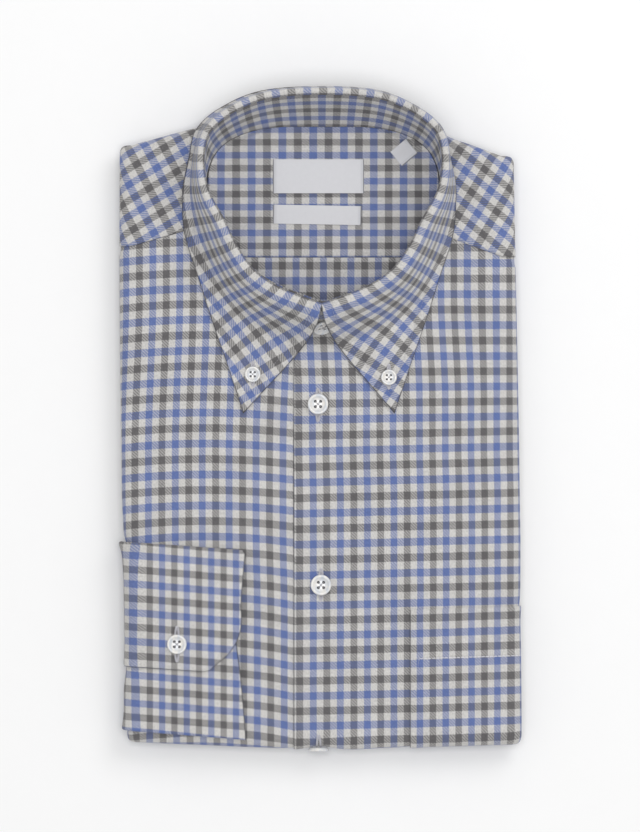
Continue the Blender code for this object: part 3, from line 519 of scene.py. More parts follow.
class Wiring:
    """Short ways to add nodes to one tree and wire them up."""

    def __init__(self, tree):
        self.tree = tree

    def put(self, socket, value):
        if isinstance(value, bpy.types.NodeSocket):
            self.tree.links.new(value, socket)
        else:
            socket.default_value = value

    def fill(self, node, **values):
        """Puts values or links in a node's sockets by name."""
        for name, value in values.items():
            self.put(node.inputs[name], value)
        return node

    def add(self, kind, *values, **settings):
        """A node with its settings, and with values or links in its first sockets."""
        node = self.tree.nodes.new(kind)
        for name, value in settings.items():
            setattr(node, name, value)
        for socket, value in zip(node.inputs, values):
            self.put(socket, value)
        return node

    def math(self, operation, *values):
        return self.add("ShaderNodeMath", *values, operation=operation).outputs[0]

    def vector(self, operation, *values):
        return self.add("ShaderNodeVectorMath", *values, operation=operation).outputs[0]

    def parts(self, vector):
        return self.add("ShaderNodeSeparateXYZ", vector).outputs[:]

    def ramp(self, value, low, high):
        """0 at low and 1 at high, with level ends."""
        return self.add("ShaderNodeMapRange", value, low, high, 0.0, 1.0,
                        interpolation_type="SMOOTHSTEP").outputs[0]

    def wave(self, value, length):
        """A sine of a value, with a wave of a given length."""
        return self.math("SINE", self.math("MULTIPLY", value, 2 * math.pi / length))

    def gap(self, value, middle):
        """How far a value is from a middle."""
        return self.math("ABSOLUTE", self.math("SUBTRACT", value, middle))

    def around_one(self, value, strength):
        """1 plus a strength times how much a value is over a half."""
        return self.math("MULTIPLY_ADD", self.math("SUBTRACT", value, 0.5), strength, 1.0)

    def mix(self, share, first, second, blend="MIX"):
        node = self.add("ShaderNodeMix", share, data_type="RGBA", blend_type=blend)
        self.put(node.inputs[6], first)
        self.put(node.inputs[7], second)
        return node.outputs[2]

    def noise(self, vector, scale, detail=2.0, roughness=0.5):
        node = self.add("ShaderNodeTexNoise")
        self.fill(node, Vector=vector, Scale=scale, Detail=detail, Roughness=roughness)
        return node.outputs["Fac"]

    def cloth(self):
        """How far the cloth has run at each place."""
        return self.add("ShaderNodeUVMap", uv_map="cloth").outputs["UV"]

    def stitches(self):
        """Each place's distance from the sewn edge, length along it and stitches' strength."""
        return self.add("ShaderNodeAttribute", attribute_name="stitch").outputs["Vector"]

    def group(self, name, **values):
        node = self.add("ShaderNodeGroup", node_tree=bpy.data.node_groups[name])
        return self.fill(node, **values).outputs

    def bump(self, shader, height, distance, strength=1.0):
        node = self.add("ShaderNodeBump")
        self.fill(node, Height=height, Distance=distance, Strength=strength)
        self.put(shader.inputs["Normal"], node.outputs["Normal"])


def new_group(name, **inputs):
    """A group that puts out Color and Height: its wiring, its inputs and its output node."""
    group = bpy.data.node_groups.new(name, "ShaderNodeTree")
    for socket, value in inputs.items():
        kind = "Float" if isinstance(value, float) else "Vector" if len(value) == 3 else "Color"
        made = group.interface.new_socket(socket, in_out="INPUT", socket_type="NodeSocket" + kind)
        made.default_value = value
    for socket, kind in (("Color", "NodeSocketColor"), ("Height", "NodeSocketFloat")):
        group.interface.new_socket(socket, in_out="OUTPUT", socket_type=kind)
    w = Wiring(group)
    return w, w.add("NodeGroupInput").outputs, w.add("NodeGroupOutput")


def make_weave_group():
    """The check: blue, white, grey and white stripes both ways, crossed thread over thread.

    Cloth is in repeats. A stripe's colour comes from the place in the repeat; at a crossing
    the two threads share the surface by half, and a coloured one shows more over a white one.
    """
    w, given, made = new_group(
        "check weave", Cloth=(0.0, 0.0, 0.0), Repeat=(PACKAGE_WARP, PACKAGE_WEFT, 0.0),
        Blue=(0.1, 0.1, 0.4, 1.0), Grey=(0.1, 0.1, 0.1, 1.0), White=(0.6, 0.6, 0.6, 1.0),
        Twill=1.0, Nap=1.0)
    lengths = w.vector("MULTIPLY", given["Cloth"], given["Repeat"])
    ragged = w.math("MULTIPLY_ADD", w.noise(lengths, 1.1, 3.0, 0.6), 0.05, -0.025)
    threads, covered = [], []
    for place in w.parts(given["Cloth"])[:2]:
        place = w.math("ADD", place, ragged)
        twice = w.math("FRACT", w.math("MULTIPLY_ADD", place, 2.0, 0.5))
        coloured = w.ramp(w.gap(twice, 0.5), 0.285, 0.225)
        blue = w.math("LESS_THAN", w.math("FRACT", w.math("ADD", place, 0.25)), 0.5)
        stripe = w.mix(blue, given["Grey"], given["Blue"])
        threads.append(w.mix(coloured, given["White"], stripe))
        covered.append(coloured)
    warp, weft = w.parts(lengths)[:2]
    ribs = w.wave(w.math("ADD", warp, weft), RIB_LENGTH)
    picks = w.wave(w.math("SUBTRACT", warp, weft), PICK_LENGTH)
    lean = w.math("MULTIPLY", w.math("SUBTRACT", *covered), 0.12)
    twill = w.math("MULTIPLY", w.math("MULTIPLY", ribs, 0.22), given["Twill"])
    share = w.math("ADD", w.math("ADD", lean, 0.5), twill)
    crossed = w.mix(share, threads[1], threads[0])
    speckle = w.noise(w.vector("MULTIPLY", lengths, (1.0, 0.55, 1.0)), 1.4, 3.0, 0.65)
    clouded = w.around_one(w.noise(lengths, 0.05, 2.0), 0.26)
    bright = w.math("MULTIPLY", w.around_one(speckle, 0.85), clouded)
    bright = w.math("MULTIPLY_ADD", w.math("SUBTRACT", bright, 1.0), given["Nap"], 1.0)
    mottle = w.add("ShaderNodeCombineXYZ", bright, bright, bright).outputs[0]
    relief = w.math("MULTIPLY_ADD", ribs, 0.25, w.math("MULTIPLY", picks, 0.12))
    relief = w.math("ADD", relief, w.math("MULTIPLY", speckle, 0.8))
    w.fill(made, Color=w.mix(1.0, crossed, mottle, "MULTIPLY"), Height=relief)


def make_stitch_group():
    """A row of stitches at a set distance from an edge, in the groove that it pulls in, darkened there
    with painted shade.

    Run gives x, the distance from the edge, and y, the length along it, in millimetres, and
    z, how strongly the stitches show. The edge itself is darkened almost to black, as painted shade.
    """
    w, given, made = new_group(
        "stitch row", Run=(0.0, 0.0, 0.0), Base=(0.5, 0.5, 0.5, 1.0),
        Thread=(0.8, 0.8, 0.8, 1.0), Distance=6.0, Pitch=2.3)
    distance, length, strength = w.parts(given["Run"])
    aside = w.gap(distance, given["Distance"])
    groove = w.ramp(aside, 1.3, 0.1)
    step = w.math("FRACT", w.math("DIVIDE", length, given["Pitch"]))
    thread = w.math("MULTIPLY", w.ramp(aside, 0.34, 0.2), w.ramp(w.gap(step, 0.5), 0.42, 0.32))
    # painted shade: the groove's colour is darkened a little, towards a dull blue-grey
    shade = w.math("MULTIPLY", groove, 0.16)
    groove_shaded = w.mix(shade, given["Base"], (0.35, 0.35, 0.4, 1.0), "MULTIPLY")
    sewn = w.mix(w.math("MULTIPLY", thread, strength), groove_shaded, given["Thread"])
    # painted shade: within 0.75 mm of the edge the colour goes most of the way to near black
    rim = w.math("MULTIPLY", w.ramp(w.math("ABSOLUTE", distance), 0.75, 0.25), 0.7)
    w.fill(made, Color=w.mix(rim, sewn, (0.05, 0.05, 0.06, 1.0)),
           Height=w.math("SUBTRACT", w.math("MULTIPLY", thread, 0.6), groove))


# === materials ===

def new_material(name, values):
    """A material's Principled shader, with its uniform values, and the wiring of its nodes."""
    material = bpy.data.materials.new(name)
    material.use_nodes = True
    shader = material.node_tree.nodes["Principled BSDF"]
    for socket, value in values.items():
        shader.inputs[socket].default_value = value
    return shader, Wiring(material.node_tree)


def tinted(colour, red, green, blue):
    """A colour with each of its parts multiplied."""
    return (colour[0] * red, colour[1] * green, colour[2] * blue, 1.0)


def make_flannel(settings):
    """Brushed cotton twill: the check, its nap and sheen, and rows of stitches by its edges."""
    shader, w = new_material("check flannel", {
        "Roughness": 0.95, "Sheen Weight": settings.sheen, "Sheen Roughness": 0.6,
        "Specular IOR Level": 0.2})
    weave = w.group("check weave", Cloth=w.cloth(), Blue=settings.blue, Grey=settings.grey,
                    White=settings.white, Twill=settings.twill, Nap=settings.nap)
    sewn = w.group("stitch row", Run=w.stitches(), Base=weave["Color"],
                   Thread=settings.thread, Distance=settings.stitch_inset)
    w.put(shader.inputs["Base Color"], sewn["Color"])
    w.bump(shader, w.math("MULTIPLY_ADD", weave["Height"], 0.35, sewn["Height"]), 0.00016, 0.8)


def make_label_cloth(settings):
    """Smooth woven tape: fine ribs both ways, a slightly darker selvedge and a soft sheen."""
    shader, w = new_material("label tape", {"Roughness": 0.62, "Sheen Weight": 0.1})
    across, along = w.parts(w.cloth())[:2]
    ribs = w.math("MULTIPLY", w.wave(across, 0.42), w.wave(along, 0.30))
    selvedge = w.ramp(w.parts(w.stitches())[0], 0.9, 0.3)
    cloud = w.noise(w.cloth(), 0.35, 3.0)
    tone = w.math("ADD", w.math("MULTIPLY", ribs, 0.06), w.math("MULTIPLY", cloud, 0.3))
    tone = w.math("ADD", tone, w.math("MULTIPLY", selvedge, 0.45))
    base = w.mix(tone, settings.label, tinted(settings.label, 0.8, 0.8, 0.8))
    sewn = w.group("stitch row", Run=w.stitches(), Base=base, Thread=settings.thread,
                   Distance=1.1, Pitch=1.6)
    w.put(shader.inputs["Base Color"], sewn["Color"])
    w.bump(shader, w.math("MULTIPLY_ADD", ribs, 0.4, sewn["Height"]), 0.00006)


def make_pearl(settings):
    """Pearly polyester: cloudy bands that turn warm and cool, with painted shade down in its four holes.
    """
    shader, w = new_material("pearl button", {
        "Roughness": 0.28, "Coat Weight": 0.4, "Coat Roughness": 0.12})
    place = w.add("ShaderNodeTexCoord").outputs["Object"]
    bands = w.noise(w.vector("MULTIPLY", place, (1.0, 0.35, 1.0)), 420.0, 3.0, 0.6)
    fine = w.noise(place, 1500.0, 2.0)
    pearly = w.mix(w.ramp(bands, 0.35, 0.7), tinted(settings.button, 0.98, 0.95, 0.9),
                   tinted(settings.button, 0.74, 0.78, 0.84))
    # painted shade: the four holes, marked in the cloth map, are painted near black
    hole = w.ramp(w.parts(w.cloth())[0], 0.1, 0.8)
    w.put(shader.inputs["Base Color"], w.mix(hole, pearly, (0.06, 0.06, 0.07, 1.0)))
    w.put(shader.inputs["Roughness"], w.math("MULTIPLY_ADD", fine, 0.16, 0.16))
    w.bump(shader, fine, 0.00003, 0.5)


def make_thread(settings):
    """Sewing thread: tight slanted strands, painted shade between them, and a slight shine."""
    shader, w = new_material("sewing thread", {"Roughness": 0.6, "Sheen Weight": 0.2})
    around, along = w.parts(w.cloth())[:2]
    twist = w.wave(w.math("MULTIPLY_ADD", around, 0.6, along), 0.5)
    # painted shade: the thread's colour is darkened between its twisted strands
    shade = tinted(settings.thread, 0.62, 0.62, 0.62)
    w.put(shader.inputs["Base Color"], w.mix(w.ramp(twist, -0.9, 0.5), shade, settings.thread))
    w.bump(shader, twist, 0.00012)


def cloth_counts(u, v):
    """Two counts of repeats as pairs."""
    return np.stack(np.broadcast_arrays(u, v), -1)


def right_front_check(x, y):
    """Repeats on the right front, whose rows bow down towards the centre and the side."""
    lean = 2.5 * smoothstep(-20.0, 70.0, y) + 0.7 * smoothstep(-60.0, -110.0, y)
    bow = -0.0012 * (x + 65.0) ** 2 * (1.0 + 0.8 * smoothstep(-40.0, -130.0, y))
    return cloth_counts((x + 21.2 - lean) / 15.07, count_up(RIGHT_ROWS, y - bow))


def left_front_check(x, y):
    """Repeats on the left front, whose rows rise a little towards the side."""
    lean = -0.5 * smoothstep(-45.0, -15.0, y)
    lean = lean - 2.4 * smoothstep(10.0, 70.0, y) * (1 - smoothstep(75.0, 105.0, x))
    rise = 0.025 * (x - 45.0) * (1 - smoothstep(-20.0, 40.0, y))
    return cloth_counts(count_up(LEFT_COLUMNS, x - lean), count_up(LEFT_ROWS, y - rise))


def pocket_check(x, y):
    """Repeats on the pocket, matched to the front under it."""
    return cloth_counts((x - 55.5) / 14.45, (y - 0.035 * (x - 60.0) + 120.15) / 16.85)


def slanted_check(start, warp, weft):
    """A check on the bias: repeats from a grey crossing, and its two repeat directions."""
    turn = np.linalg.inv(np.array([warp, weft], dtype=float).T)

    def check(x, y):
        aside = np.stack([x - start[0], y - start[1]], -1) @ turn.T
        return aside + 0.5
    return check


RIGHT_YOKE_CHECK = slanted_check((-87.6, 151.7), (-15.45, -9.3), (6.9, -13.5))
LEFT_YOKE_CHECK = slanted_check((77.7, 150.4), (14.1, -10.9), (-7.4, -12.8))


# === fronts, yokes and the inside ===

def front_top_y(x):
    """A front's upper edge: the neckline where there is one, or else the yoke seam."""
    seam = yoke_seam(x) - GAP / 2
    inside = (x > NECKLINE[0][0]) & (x < NECKLINE[-1][0])
    return np.where(inside, np.minimum(np.interp(x, *np.array(NECKLINE).T), seam), seam) + SEAM_LAP


def lap_edge(side):
    """Where a front's edge is at the lap, over or under the other."""
    return LAP_EDGE_X if side > 0 else LAP_UNDER_X


def front_points(side, columns, rows, overs):
    """A front: shares across and down the flat top, then lengths past the side and tail folds.

    The cloth coordinates are x, y on the unrolled plane; drape() then takes them round.
    """
    share, over_x = past_folds(columns, after=overs)
    down, over_y = (run[:, None] for run in past_folds(rows, before=overs))
    y = np.zeros((len(down), len(share)))
    for _ in range(SETTLING_ROUNDS):
        fold = right_edge(y) - ROLL if side > 0 else left_edge(y) + ROLL
        x = between(lap_edge(side), fold, share) + side * over_x
        start = look_up(BOTTOM_EDGE, x) + ROLL
        y = between(start, front_top_y(np.clip(x, -112.0, 108.0)), down) + over_y
    return x, y


def build_front(name, side, check):
    """A front, draped over the package, dropped at its edge and sunk under the yoke."""
    x, y = front_points(side, edge_rows(54, both=False), edge_rows(120, both=False), HALF_ROUND)
    to_edge = np.abs(x - lap_edge(side))
    seam_y = yoke_seam(x)
    lift = edge_drop(to_edge) - SEAM_SINK * smoothstep(-1.6, 0.4, y - seam_y)
    if side > 0:
        lift = lift + lap_lift(x) * (1 - smoothstep(-14.0, -2.0, y - seam_y))
    points = drape(x, y, lift)
    stitch = stitch_runs(np.minimum(to_edge, EDGE_SHADE_REACH), y)
    flat = (float(x.max() - x.min()), float(y.max() - y.min()))
    cloth_piece(name + "_cloth", name, (points, check(x, y), stitch), flat)


YOKE_FAN = (
    # share of the neck seam; place on the outer fold, side 0 to 1 and shoulder 1 to 2; and
    # the shares of the cloth past the fold that go sideways and towards the neck
    (0, 0, 1, 0), (0.12, 0.33, 1, 0), (0.22, 0.66, 1, 0), (0.30, 0.90, 1, 0), (0.34, 0.97, 1, 0.5),
    (0.38, 1, 1, 1), (0.42, 1.015, 0.5, 1), (0.46, 1.04, 0, 1), (0.56, 1.31, 0, 1),
    (0.64, 1.42, 0, 1), (0.73, 1.56, 0, 1), (0.85, 1.735, 0, 1), (1, 2, 0, 1),
)
SHOULDER_Y = 120.0


def collar_rows(side):
    """The collar's table for one side, with the neck's and the points' shifts put in."""
    rows = np.array(COLLAR, dtype=float)
    neck = between(NECK_SHIFT * 0.3, NECK_SHIFT, smoothstep(60.0, 90.0, rows[:, 3]))
    reach = np.minimum(rows[:, 5] / 40.0, 1.0)
    rows[:, 0] = side * rows[:, 0] + neck
    rows[:, 2] = side * rows[:, 2] + neck
    rows[:, 5] = side * rows[:, 5] + FALL_SHIFT * reach
    rows[:, 8] *= side
    return rows


ROUND_COLLAR = np.concatenate([collar_rows(-1), collar_rows(1)[-2::-1]])
LAST_SECTION = len(ROUND_COLLAR) - 1


def ring_row(position):
    """The collar's row at any position; past either end it goes on along the other side."""
    wrapped = np.where(position < 0, LAST_SECTION + position, position)
    wrapped = np.where(position > LAST_SECTION, position - LAST_SECTION, wrapped)
    return spline(ROUND_COLLAR, wrapped)


def outward(position, first_column):
    """Square to the seam or the crest in plan, away from the neck."""
    step = 0.05
    ahead = ring_row(position + step) - ring_row(position - step)
    along = ahead[..., first_column:first_column + 2]
    aside = np.stack([-along[..., 1], along[..., 0]], -1)
    return unit(aside)


def crest_outward(position):
    """The same at the crest, held just short of its ends."""
    return outward(np.clip(position, END_STRETCH, LAST_SECTION - END_STRETCH), 2)


def seam_ring(distance, steps=16):
    """The neck seam in plan, moved outward by a distance."""
    position = np.arange(LAST_SECTION * steps + 1) / steps
    return ring_row(position)[:, 0:2] + outward(position, 0) * distance


def yoke_points(side, columns, rows, overs):
    """A yoke half: straight lines fanned out from the neck seam to the folds, then past them."""
    ring = seam_ring(SEAM_CLEAR)
    half = ring[:len(ring) // 2 + 1] if side < 0 else ring[:len(ring) // 2 - 1:-1]
    neck = half[half[:, 1] >= yoke_seam(half[:, 0]) + GAP / 2]
    edge = left_edge if side < 0 else right_edge
    side_x = float(edge(SHOULDER_Y)) - side * ROLL
    low = float(yoke_seam(side_x)) + GAP / 2
    high = float(look_up(TOP_EDGE, side_x)) - ROLL

    fan = np.array(YOKE_FAN)
    place = np.linspace(0, len(fan) - 1, columns)
    neck_share, start, over_x, over_y = (
        np.interp(place, np.arange(len(fan)), fan[:, column]) for column in range(4))
    along_neck = neck_share * (len(neck) - 1)
    inner_x, inner_y = (np.interp(along_neck, np.arange(len(neck)), neck[:, axis])
                        for axis in (0, 1))
    inner_x[-1] = side * GAP / 2
    side_y = between(low, high, np.minimum(start, 1.0))
    top_x = between(side_x, side * GAP / 2, np.maximum(start - 1.0, 0.0))
    outer_x = np.where(start <= 1.0, edge(side_y) - side * ROLL, top_x)
    outer_y = np.where(start <= 1.0, side_y, look_up(TOP_EDGE, top_x) - ROLL)

    share, over = (run[:, None] for run in past_folds(rows, after=overs))
    x = between(inner_x, outer_x, share) + side * over * over_x
    y = between(inner_y, outer_y, share) + over * over_y
    return x, y


def build_yoke(name, side, check):
    """A yoke half: its fan of lines, draped and dropped a little at the seam."""
    x, y = yoke_points(side, 110, np.linspace(0.0, 1.0, 30), HALF_ROUND)
    to_seam = y - yoke_seam(x)
    points = drape(x, y, edge_drop(to_seam, 0.12, 1.2))
    stitch = stitch_runs(np.clip(to_seam, 0.0, EDGE_SHADE_REACH), x)
    cloth_piece(name + "_cloth", name, (points, check(x, y), stitch), YOKE_FLAT)


def neck_sides(y, clearance=SEAM_CLEAR):
    """The neck opening's left and right x at y, the seam moved inward by the clearance."""
    ring = seam_ring(-clearance)
    middle = len(ring) // 2
    right_half, left_half = ring[:middle + 1], ring[:middle - 1:-1]
    return (np.interp(y, right_half[:, 1], right_half[:, 0]),
            np.interp(y, left_half[:, 1], left_half[:, 0]))


def floor_height(x, y, left, right):
    """The inside of the back: a slope up to the nape, turned up along the neck seam."""
    share = np.clip((y - INSIDE_FRONT_Y) / (INSIDE_NAPE_Y - INSIDE_FRONT_Y), 0.0, 1.0)
    level = FLOOR_FRONT + FLOOR_RISE * share ** FLOOR_CURVE
    rim = top_height(x, y) - RIM_DROP
    to_rim = np.minimum(np.minimum(x - left, right - x), (INSIDE_NAPE_Y - y) * NAPE_STEEPNESS)
    return between(level, rim, 1 - smoothstep(0.0, RIM_RISE_WIDTH, to_rim))


def inside_points(shares, rows, clearance):
    """Shares across between the neck sides at each row, on the floor and its soft folds."""
    y = rows[:, None] + 0.0 * shares[None, :]
    left, right = neck_sides(y, clearance)
    x = between(left, right, shares[None, :])
    relief = fold_relief(INSIDE_CREASES, x, y)
    return np.stack([x, y, floor_height(x, y, left, right) + relief], -1)


INSIDE_CREASES = (
    # soft folds of the inside of the back: x, y of each end, half width, height
    (-30, 66, -46, 96, 6, 0.7), (34, 68, 44, 98, 6, 0.6), (-8, 62, 2, 84, 7, -0.5),
    (-40, 132, -52, 110, 5, 0.4),
)


def build_inside():
    """The inner yoke, and below its seam the back panel, a little lower."""
    shares = np.concatenate([[0, 0.006, 0.014], np.linspace(0.025, 0.975, 70), [0.986, 0.994, 1]])
    seam = BACK_SEAM_Y
    yoke_rows = np.concatenate([seam + np.array([0.0, 0.5, 1.2]), np.linspace(93.0, 163.4, 52)])
    back_rows = np.concatenate([np.linspace(51.5, 88.0, 26), seam - np.array([1.0, 0.4, 0.0])])
    for name, rows in (("inner_yoke", yoke_rows), ("back_panel", back_rows)):
        points = inside_points(shares, rows, SEAM_CLEAR - 0.5)
        x, y = points[..., 0], points[..., 1]
        if name == "inner_yoke":
            points[..., 2] += 0.55 * smoothstep(0.0, 1.2, y - seam + 0.3)
            points[..., 2] += edge_drop(y - seam, 0.3, 1.5)
            cloth = cloth_counts(count_up(YOKE_INSIDE_COLUMNS, x), (y - 104.1) / 14.5)
            stitch = stitch_runs(np.clip(y - seam, 0.0, EDGE_SHADE_REACH), x)
        else:
            cloth = cloth_counts((x - 1.5) / 15.4, (y - 77.3) / 16.9)
            stitch = None
        flat = (INSIDE_FLAT_WIDTH, float(np.ptp(y)) + 8.0)
        cloth_piece(name + "_cloth", name, (points, cloth, stitch), flat)


# === collar ===

def stand_points(position, up):
    """The stand: straight lines from the neck seam to the crease, bowed out by a half sine."""
    row = ring_row(position)
    seam = np.stack([row[..., 0], row[..., 1], np.zeros(position.shape)], -1)
    seam[..., 2] = drape(seam[..., 0], seam[..., 1])[..., 2] + GAP
    out = np.concatenate([crest_outward(position), np.zeros((*position.shape, 1))], -1)
    crease = row[..., 2:5] - out * CREASE_IN
    crease[..., 2] -= CREASE_DOWN + CREASE_GAP
    lap = smoothstep(LAP_BLEND[1], LAP_BLEND[0], position)
    lap = lap - smoothstep(LAST_SECTION - LAP_BLEND[1], LAST_SECTION - LAP_BLEND[0], position)
    bow = np.sin(np.pi * np.clip(up, 0.0, 1.0)) * STAND_BOW
    return seam + (crease - seam) * up[..., None] + out * (bow - lap * LAP_OFFSET)[..., None]


def fall_points(position, shares):
    """The fall: for each section a turn over the crease, then down to its edge.

    In plan it is a cubic curve, which leaves the crest squarely and makes for the edge. Its
    height is the drop times FALL_CURVE of the plan distance over the steep part's width, and
    it is held up where it would go through what it lies on.
    """
    row = ring_row(position)
    crest, edge = row[:, 2:5], row[:, 5:8].copy()
    out = np.concatenate([crest_outward(position), np.zeros((len(position), 1))], -1)
    resting = panel_top(edge[:, 0], edge[:, 1]) + GAP + COLLAR_WALL / 2
    hanging = smoothstep(0.0, EDGE_REST, edge[:, 2])
    edge[:, 2] = np.maximum(edge[:, 2], between(resting, edge[:, 2], hanging))
    up = np.array([0.0, 0.0, 1.0])
    run = np.linalg.norm((edge - crest)[:, :2], axis=1)
    back = np.maximum(run - CREST_REACH, 0.0) / np.maximum(run, 1.0) * EDGE_FLATNESS
    first = crest + out * (CREST_REACH + CREST_ROUNDNESS * run)[:, None]
    second = edge + (crest - edge) * back[:, None]
    side = np.sign(position - LAST_SECTION / 2)
    front = smoothstep(1.2, 0.0, np.minimum(position, LAST_SECTION - position))
    for control, (aside, ahead) in ((first, FRONT_HANG), (second, FRONT_LEAN)):
        control[:, 0] += side * aside * front
        control[:, 1] += ahead * front
    turn_in, turn_down = np.array(CREASE_TURN + ((0.0, 0.0),)).T
    arc = np.linspace(0.0, len(CREASE_TURN), 3 * len(CREASE_TURN) + 1)[:-1]
    steps = np.arange(len(CREASE_TURN) + 1)
    inward = np.interp(arc, steps, turn_in)[:, None, None]
    down = np.interp(arc, steps, turn_down)[:, None, None]
    inside = crest - out * CREASE_IN * inward - up * CREASE_DOWN * down
    t = shares[:, None, None]
    rest = 1 - t
    outside = crest * rest ** 3 + first * 3 * rest ** 2 * t + second * 3 * rest * t ** 2 + edge * t ** 3
    left_to_go = look_up(FALL_CURVE, lengths_along(outside[..., :2]) / row[:, 9])
    outside[..., 2] = edge[:, 2] + (crest - edge)[:, 2] * left_to_go
    x, y = outside[..., 0], outside[..., 1]
    over_panel = (x > left_edge(y)) & (x < right_edge(y)) & (y < look_up(TOP_EDGE, x))
    lowest = panel_top(x, y) + GAP + COLLAR_WALL / 2
    outside[..., 2] = np.where(over_panel, np.maximum(outside[..., 2], lowest), outside[..., 2])
    gone_down = np.concatenate([np.zeros(inside.shape[:2]), 1.0 - left_to_go])
    return np.concatenate([inside, outside]), gone_down


def crest_lengths(position):
    """Length along the crest from the centre back, negative towards the right front."""
    length = lengths_along(ring_row(position)[:, 2:5])
    return length - np.interp(LAST_SECTION / 2, position, length)


def fall_grid():
    """Places along the crest, the fall's points, and its lengths down and along the cut."""
    position = np.linspace(0.0, LAST_SECTION, 241)
    shares = edge_rows(54, fine=(0.0, 0.15, 0.35, 0.65)) ** 1.5
    points, gone_down = fall_points(position, shares)
    depth = lengths_along(points)
    depth = depth + (ring_row(position)[:, 10] - depth[-1]) * gone_down
    along = crest_lengths(position)[None, :] + ring_row(position)[:, 8] * depth / depth[-1]
    return position, points, depth, along


def build_collar():
    """The fall and the stand, whose check runs on along the crest."""
    position, points, depth, along = fall_grid()
    crest = crest_lengths(position)
    cloth = cloth_counts(along / COLLAR_WARP + 0.5, depth / COLLAR_WEFT + 0.5)
    front = np.minimum(np.abs(crest - crest[0]), np.abs(crest - crest[-1]))[None, :]
    to_edge = np.minimum(depth[-1] - depth, front)
    stitch = stitch_runs(to_edge, np.where(to_edge == front, depth, along))
    cloth_piece("collar_fall_cloth", "collar_fall", (points, cloth, stitch), FALL_FLAT,
                wall=COLLAR_CLOTH)

    lap = np.linspace(-STAND_LAP, LAST_SECTION + STAND_LAP, 233)
    up = np.concatenate([[-0.05, -0.03], np.linspace(0.0, 1.0, 17)])
    points = stand_points(*np.meshgrid(lap, up))
    rise = lengths_along(points)
    past = lap - np.clip(lap, 0, LAST_SECTION)
    along = np.interp(np.clip(lap, 0, LAST_SECTION), position, crest) + past * LAP_LENGTH
    cloth = cloth_counts((along + 0.7) / COLLAR_WARP, (rise[-1] - rise - 9.3) / COLLAR_WEFT)
    stitch = stitch_runs(np.minimum(rise, rise[-1] - rise) + 3.5, along)
    cloth_piece("collar_stand_cloth", "collar_stand", (points, cloth, stitch), STAND_FLAT,
                wall=COLLAR_CLOTH, turned=True)


# === pocket, cuff and sleeve ===

def build_pocket():
    """The pocket: shares across from its left edge to the side fold, then past the folds."""
    overs = np.linspace(0.0, math.radians(120) * ROLL, 11)[1:]
    share, over_x = past_folds(edge_rows(30, both=False), after=overs)
    down, over_y = (run[::-1, None] for run in past_folds(edge_rows(40, both=False), after=overs))
    y = np.full((len(down), len(share)), -140.0)
    for _ in range(SETTLING_ROUNDS):
        x = between(POCKET_LEFT_X, right_edge(y) - ROLL, share) + over_x
        top = POCKET_TOP_Y + (x - POCKET_LEFT_X) * POCKET_TOP_SLOPE
        y = between(top, look_up(BOTTOM_EDGE, x) + ROLL, down) - over_y
    to_side, to_top = x - POCKET_LEFT_X, top - y
    drop = np.minimum(edge_drop(to_side, 0.5, 2.0), edge_drop(to_top, 0.2, 2.0))
    points = drape(x, y, POCKET_LIFT - 0.15 + lap_lift(x) + drop)
    by_side = to_side < 5.0
    to_hem = np.abs(to_top - POCKET_HEM) + 6.0
    stitch = stitch_runs(np.where(by_side, np.minimum(to_side, EDGE_SHADE_REACH), to_hem),
                         np.where(by_side, y, x), np.where(by_side, FAINT_STITCH, 0.8))
    flat = (float(np.ptp(x)), float(np.ptp(y)))
    cloth_piece("pocket_cloth", "pocket", (points, pocket_check(x, y), stitch), flat)


def cuff_path(count=44):
    """The band's section as y, lift and cloth repeats: lapped end, upper fold, under side, tuck."""
    low, middle, high = CUFF_LIFTS
    turn = np.radians(np.linspace(0, 180, 9))[1:-1]
    fold = (high - low) / 2
    tuck = (middle - low) / 2
    lapped = between(CUFF_END_Y, CUFF_TOP_Y, edge_rows(count, both=False))
    under = between(CUFF_TOP_Y, CUFF_BOTTOM_Y, np.linspace(0.0, 1.0, 60))
    tucked = between(CUFF_BOTTOM_Y, CUFF_TUCK_Y, np.linspace(0.0, 1.0, 24))
    y = np.concatenate([lapped, CUFF_TOP_Y + fold * np.sin(turn), under,
                        CUFF_BOTTOM_Y - tuck * np.sin(turn), tucked])
    lift = np.concatenate([np.full(len(lapped), high), low + fold + fold * np.cos(turn),
                           np.full(len(under), low), low + tuck - tuck * np.cos(turn),
                           np.full(len(tucked), middle)])
    length = lengths_along(np.stack([y, lift], -1))
    top = float(length[len(lapped) - 1])
    lower = top + math.pi * fold
    counts = ((0.0, -3.895), (top, 0.336), (lower, 0.65),
              (lower + 72.6, 5.0), (lower + 88.0, 6.0), (lower + 160.0, 10.6))
    return y, lift, length, count_up(counts, length)


def cuff_place(x, y, lift):
    """The cuff lies at a slight slant to the package's side."""
    return drape(x, y + CUFF_SLOPE * (x - left_edge(y)), lift)


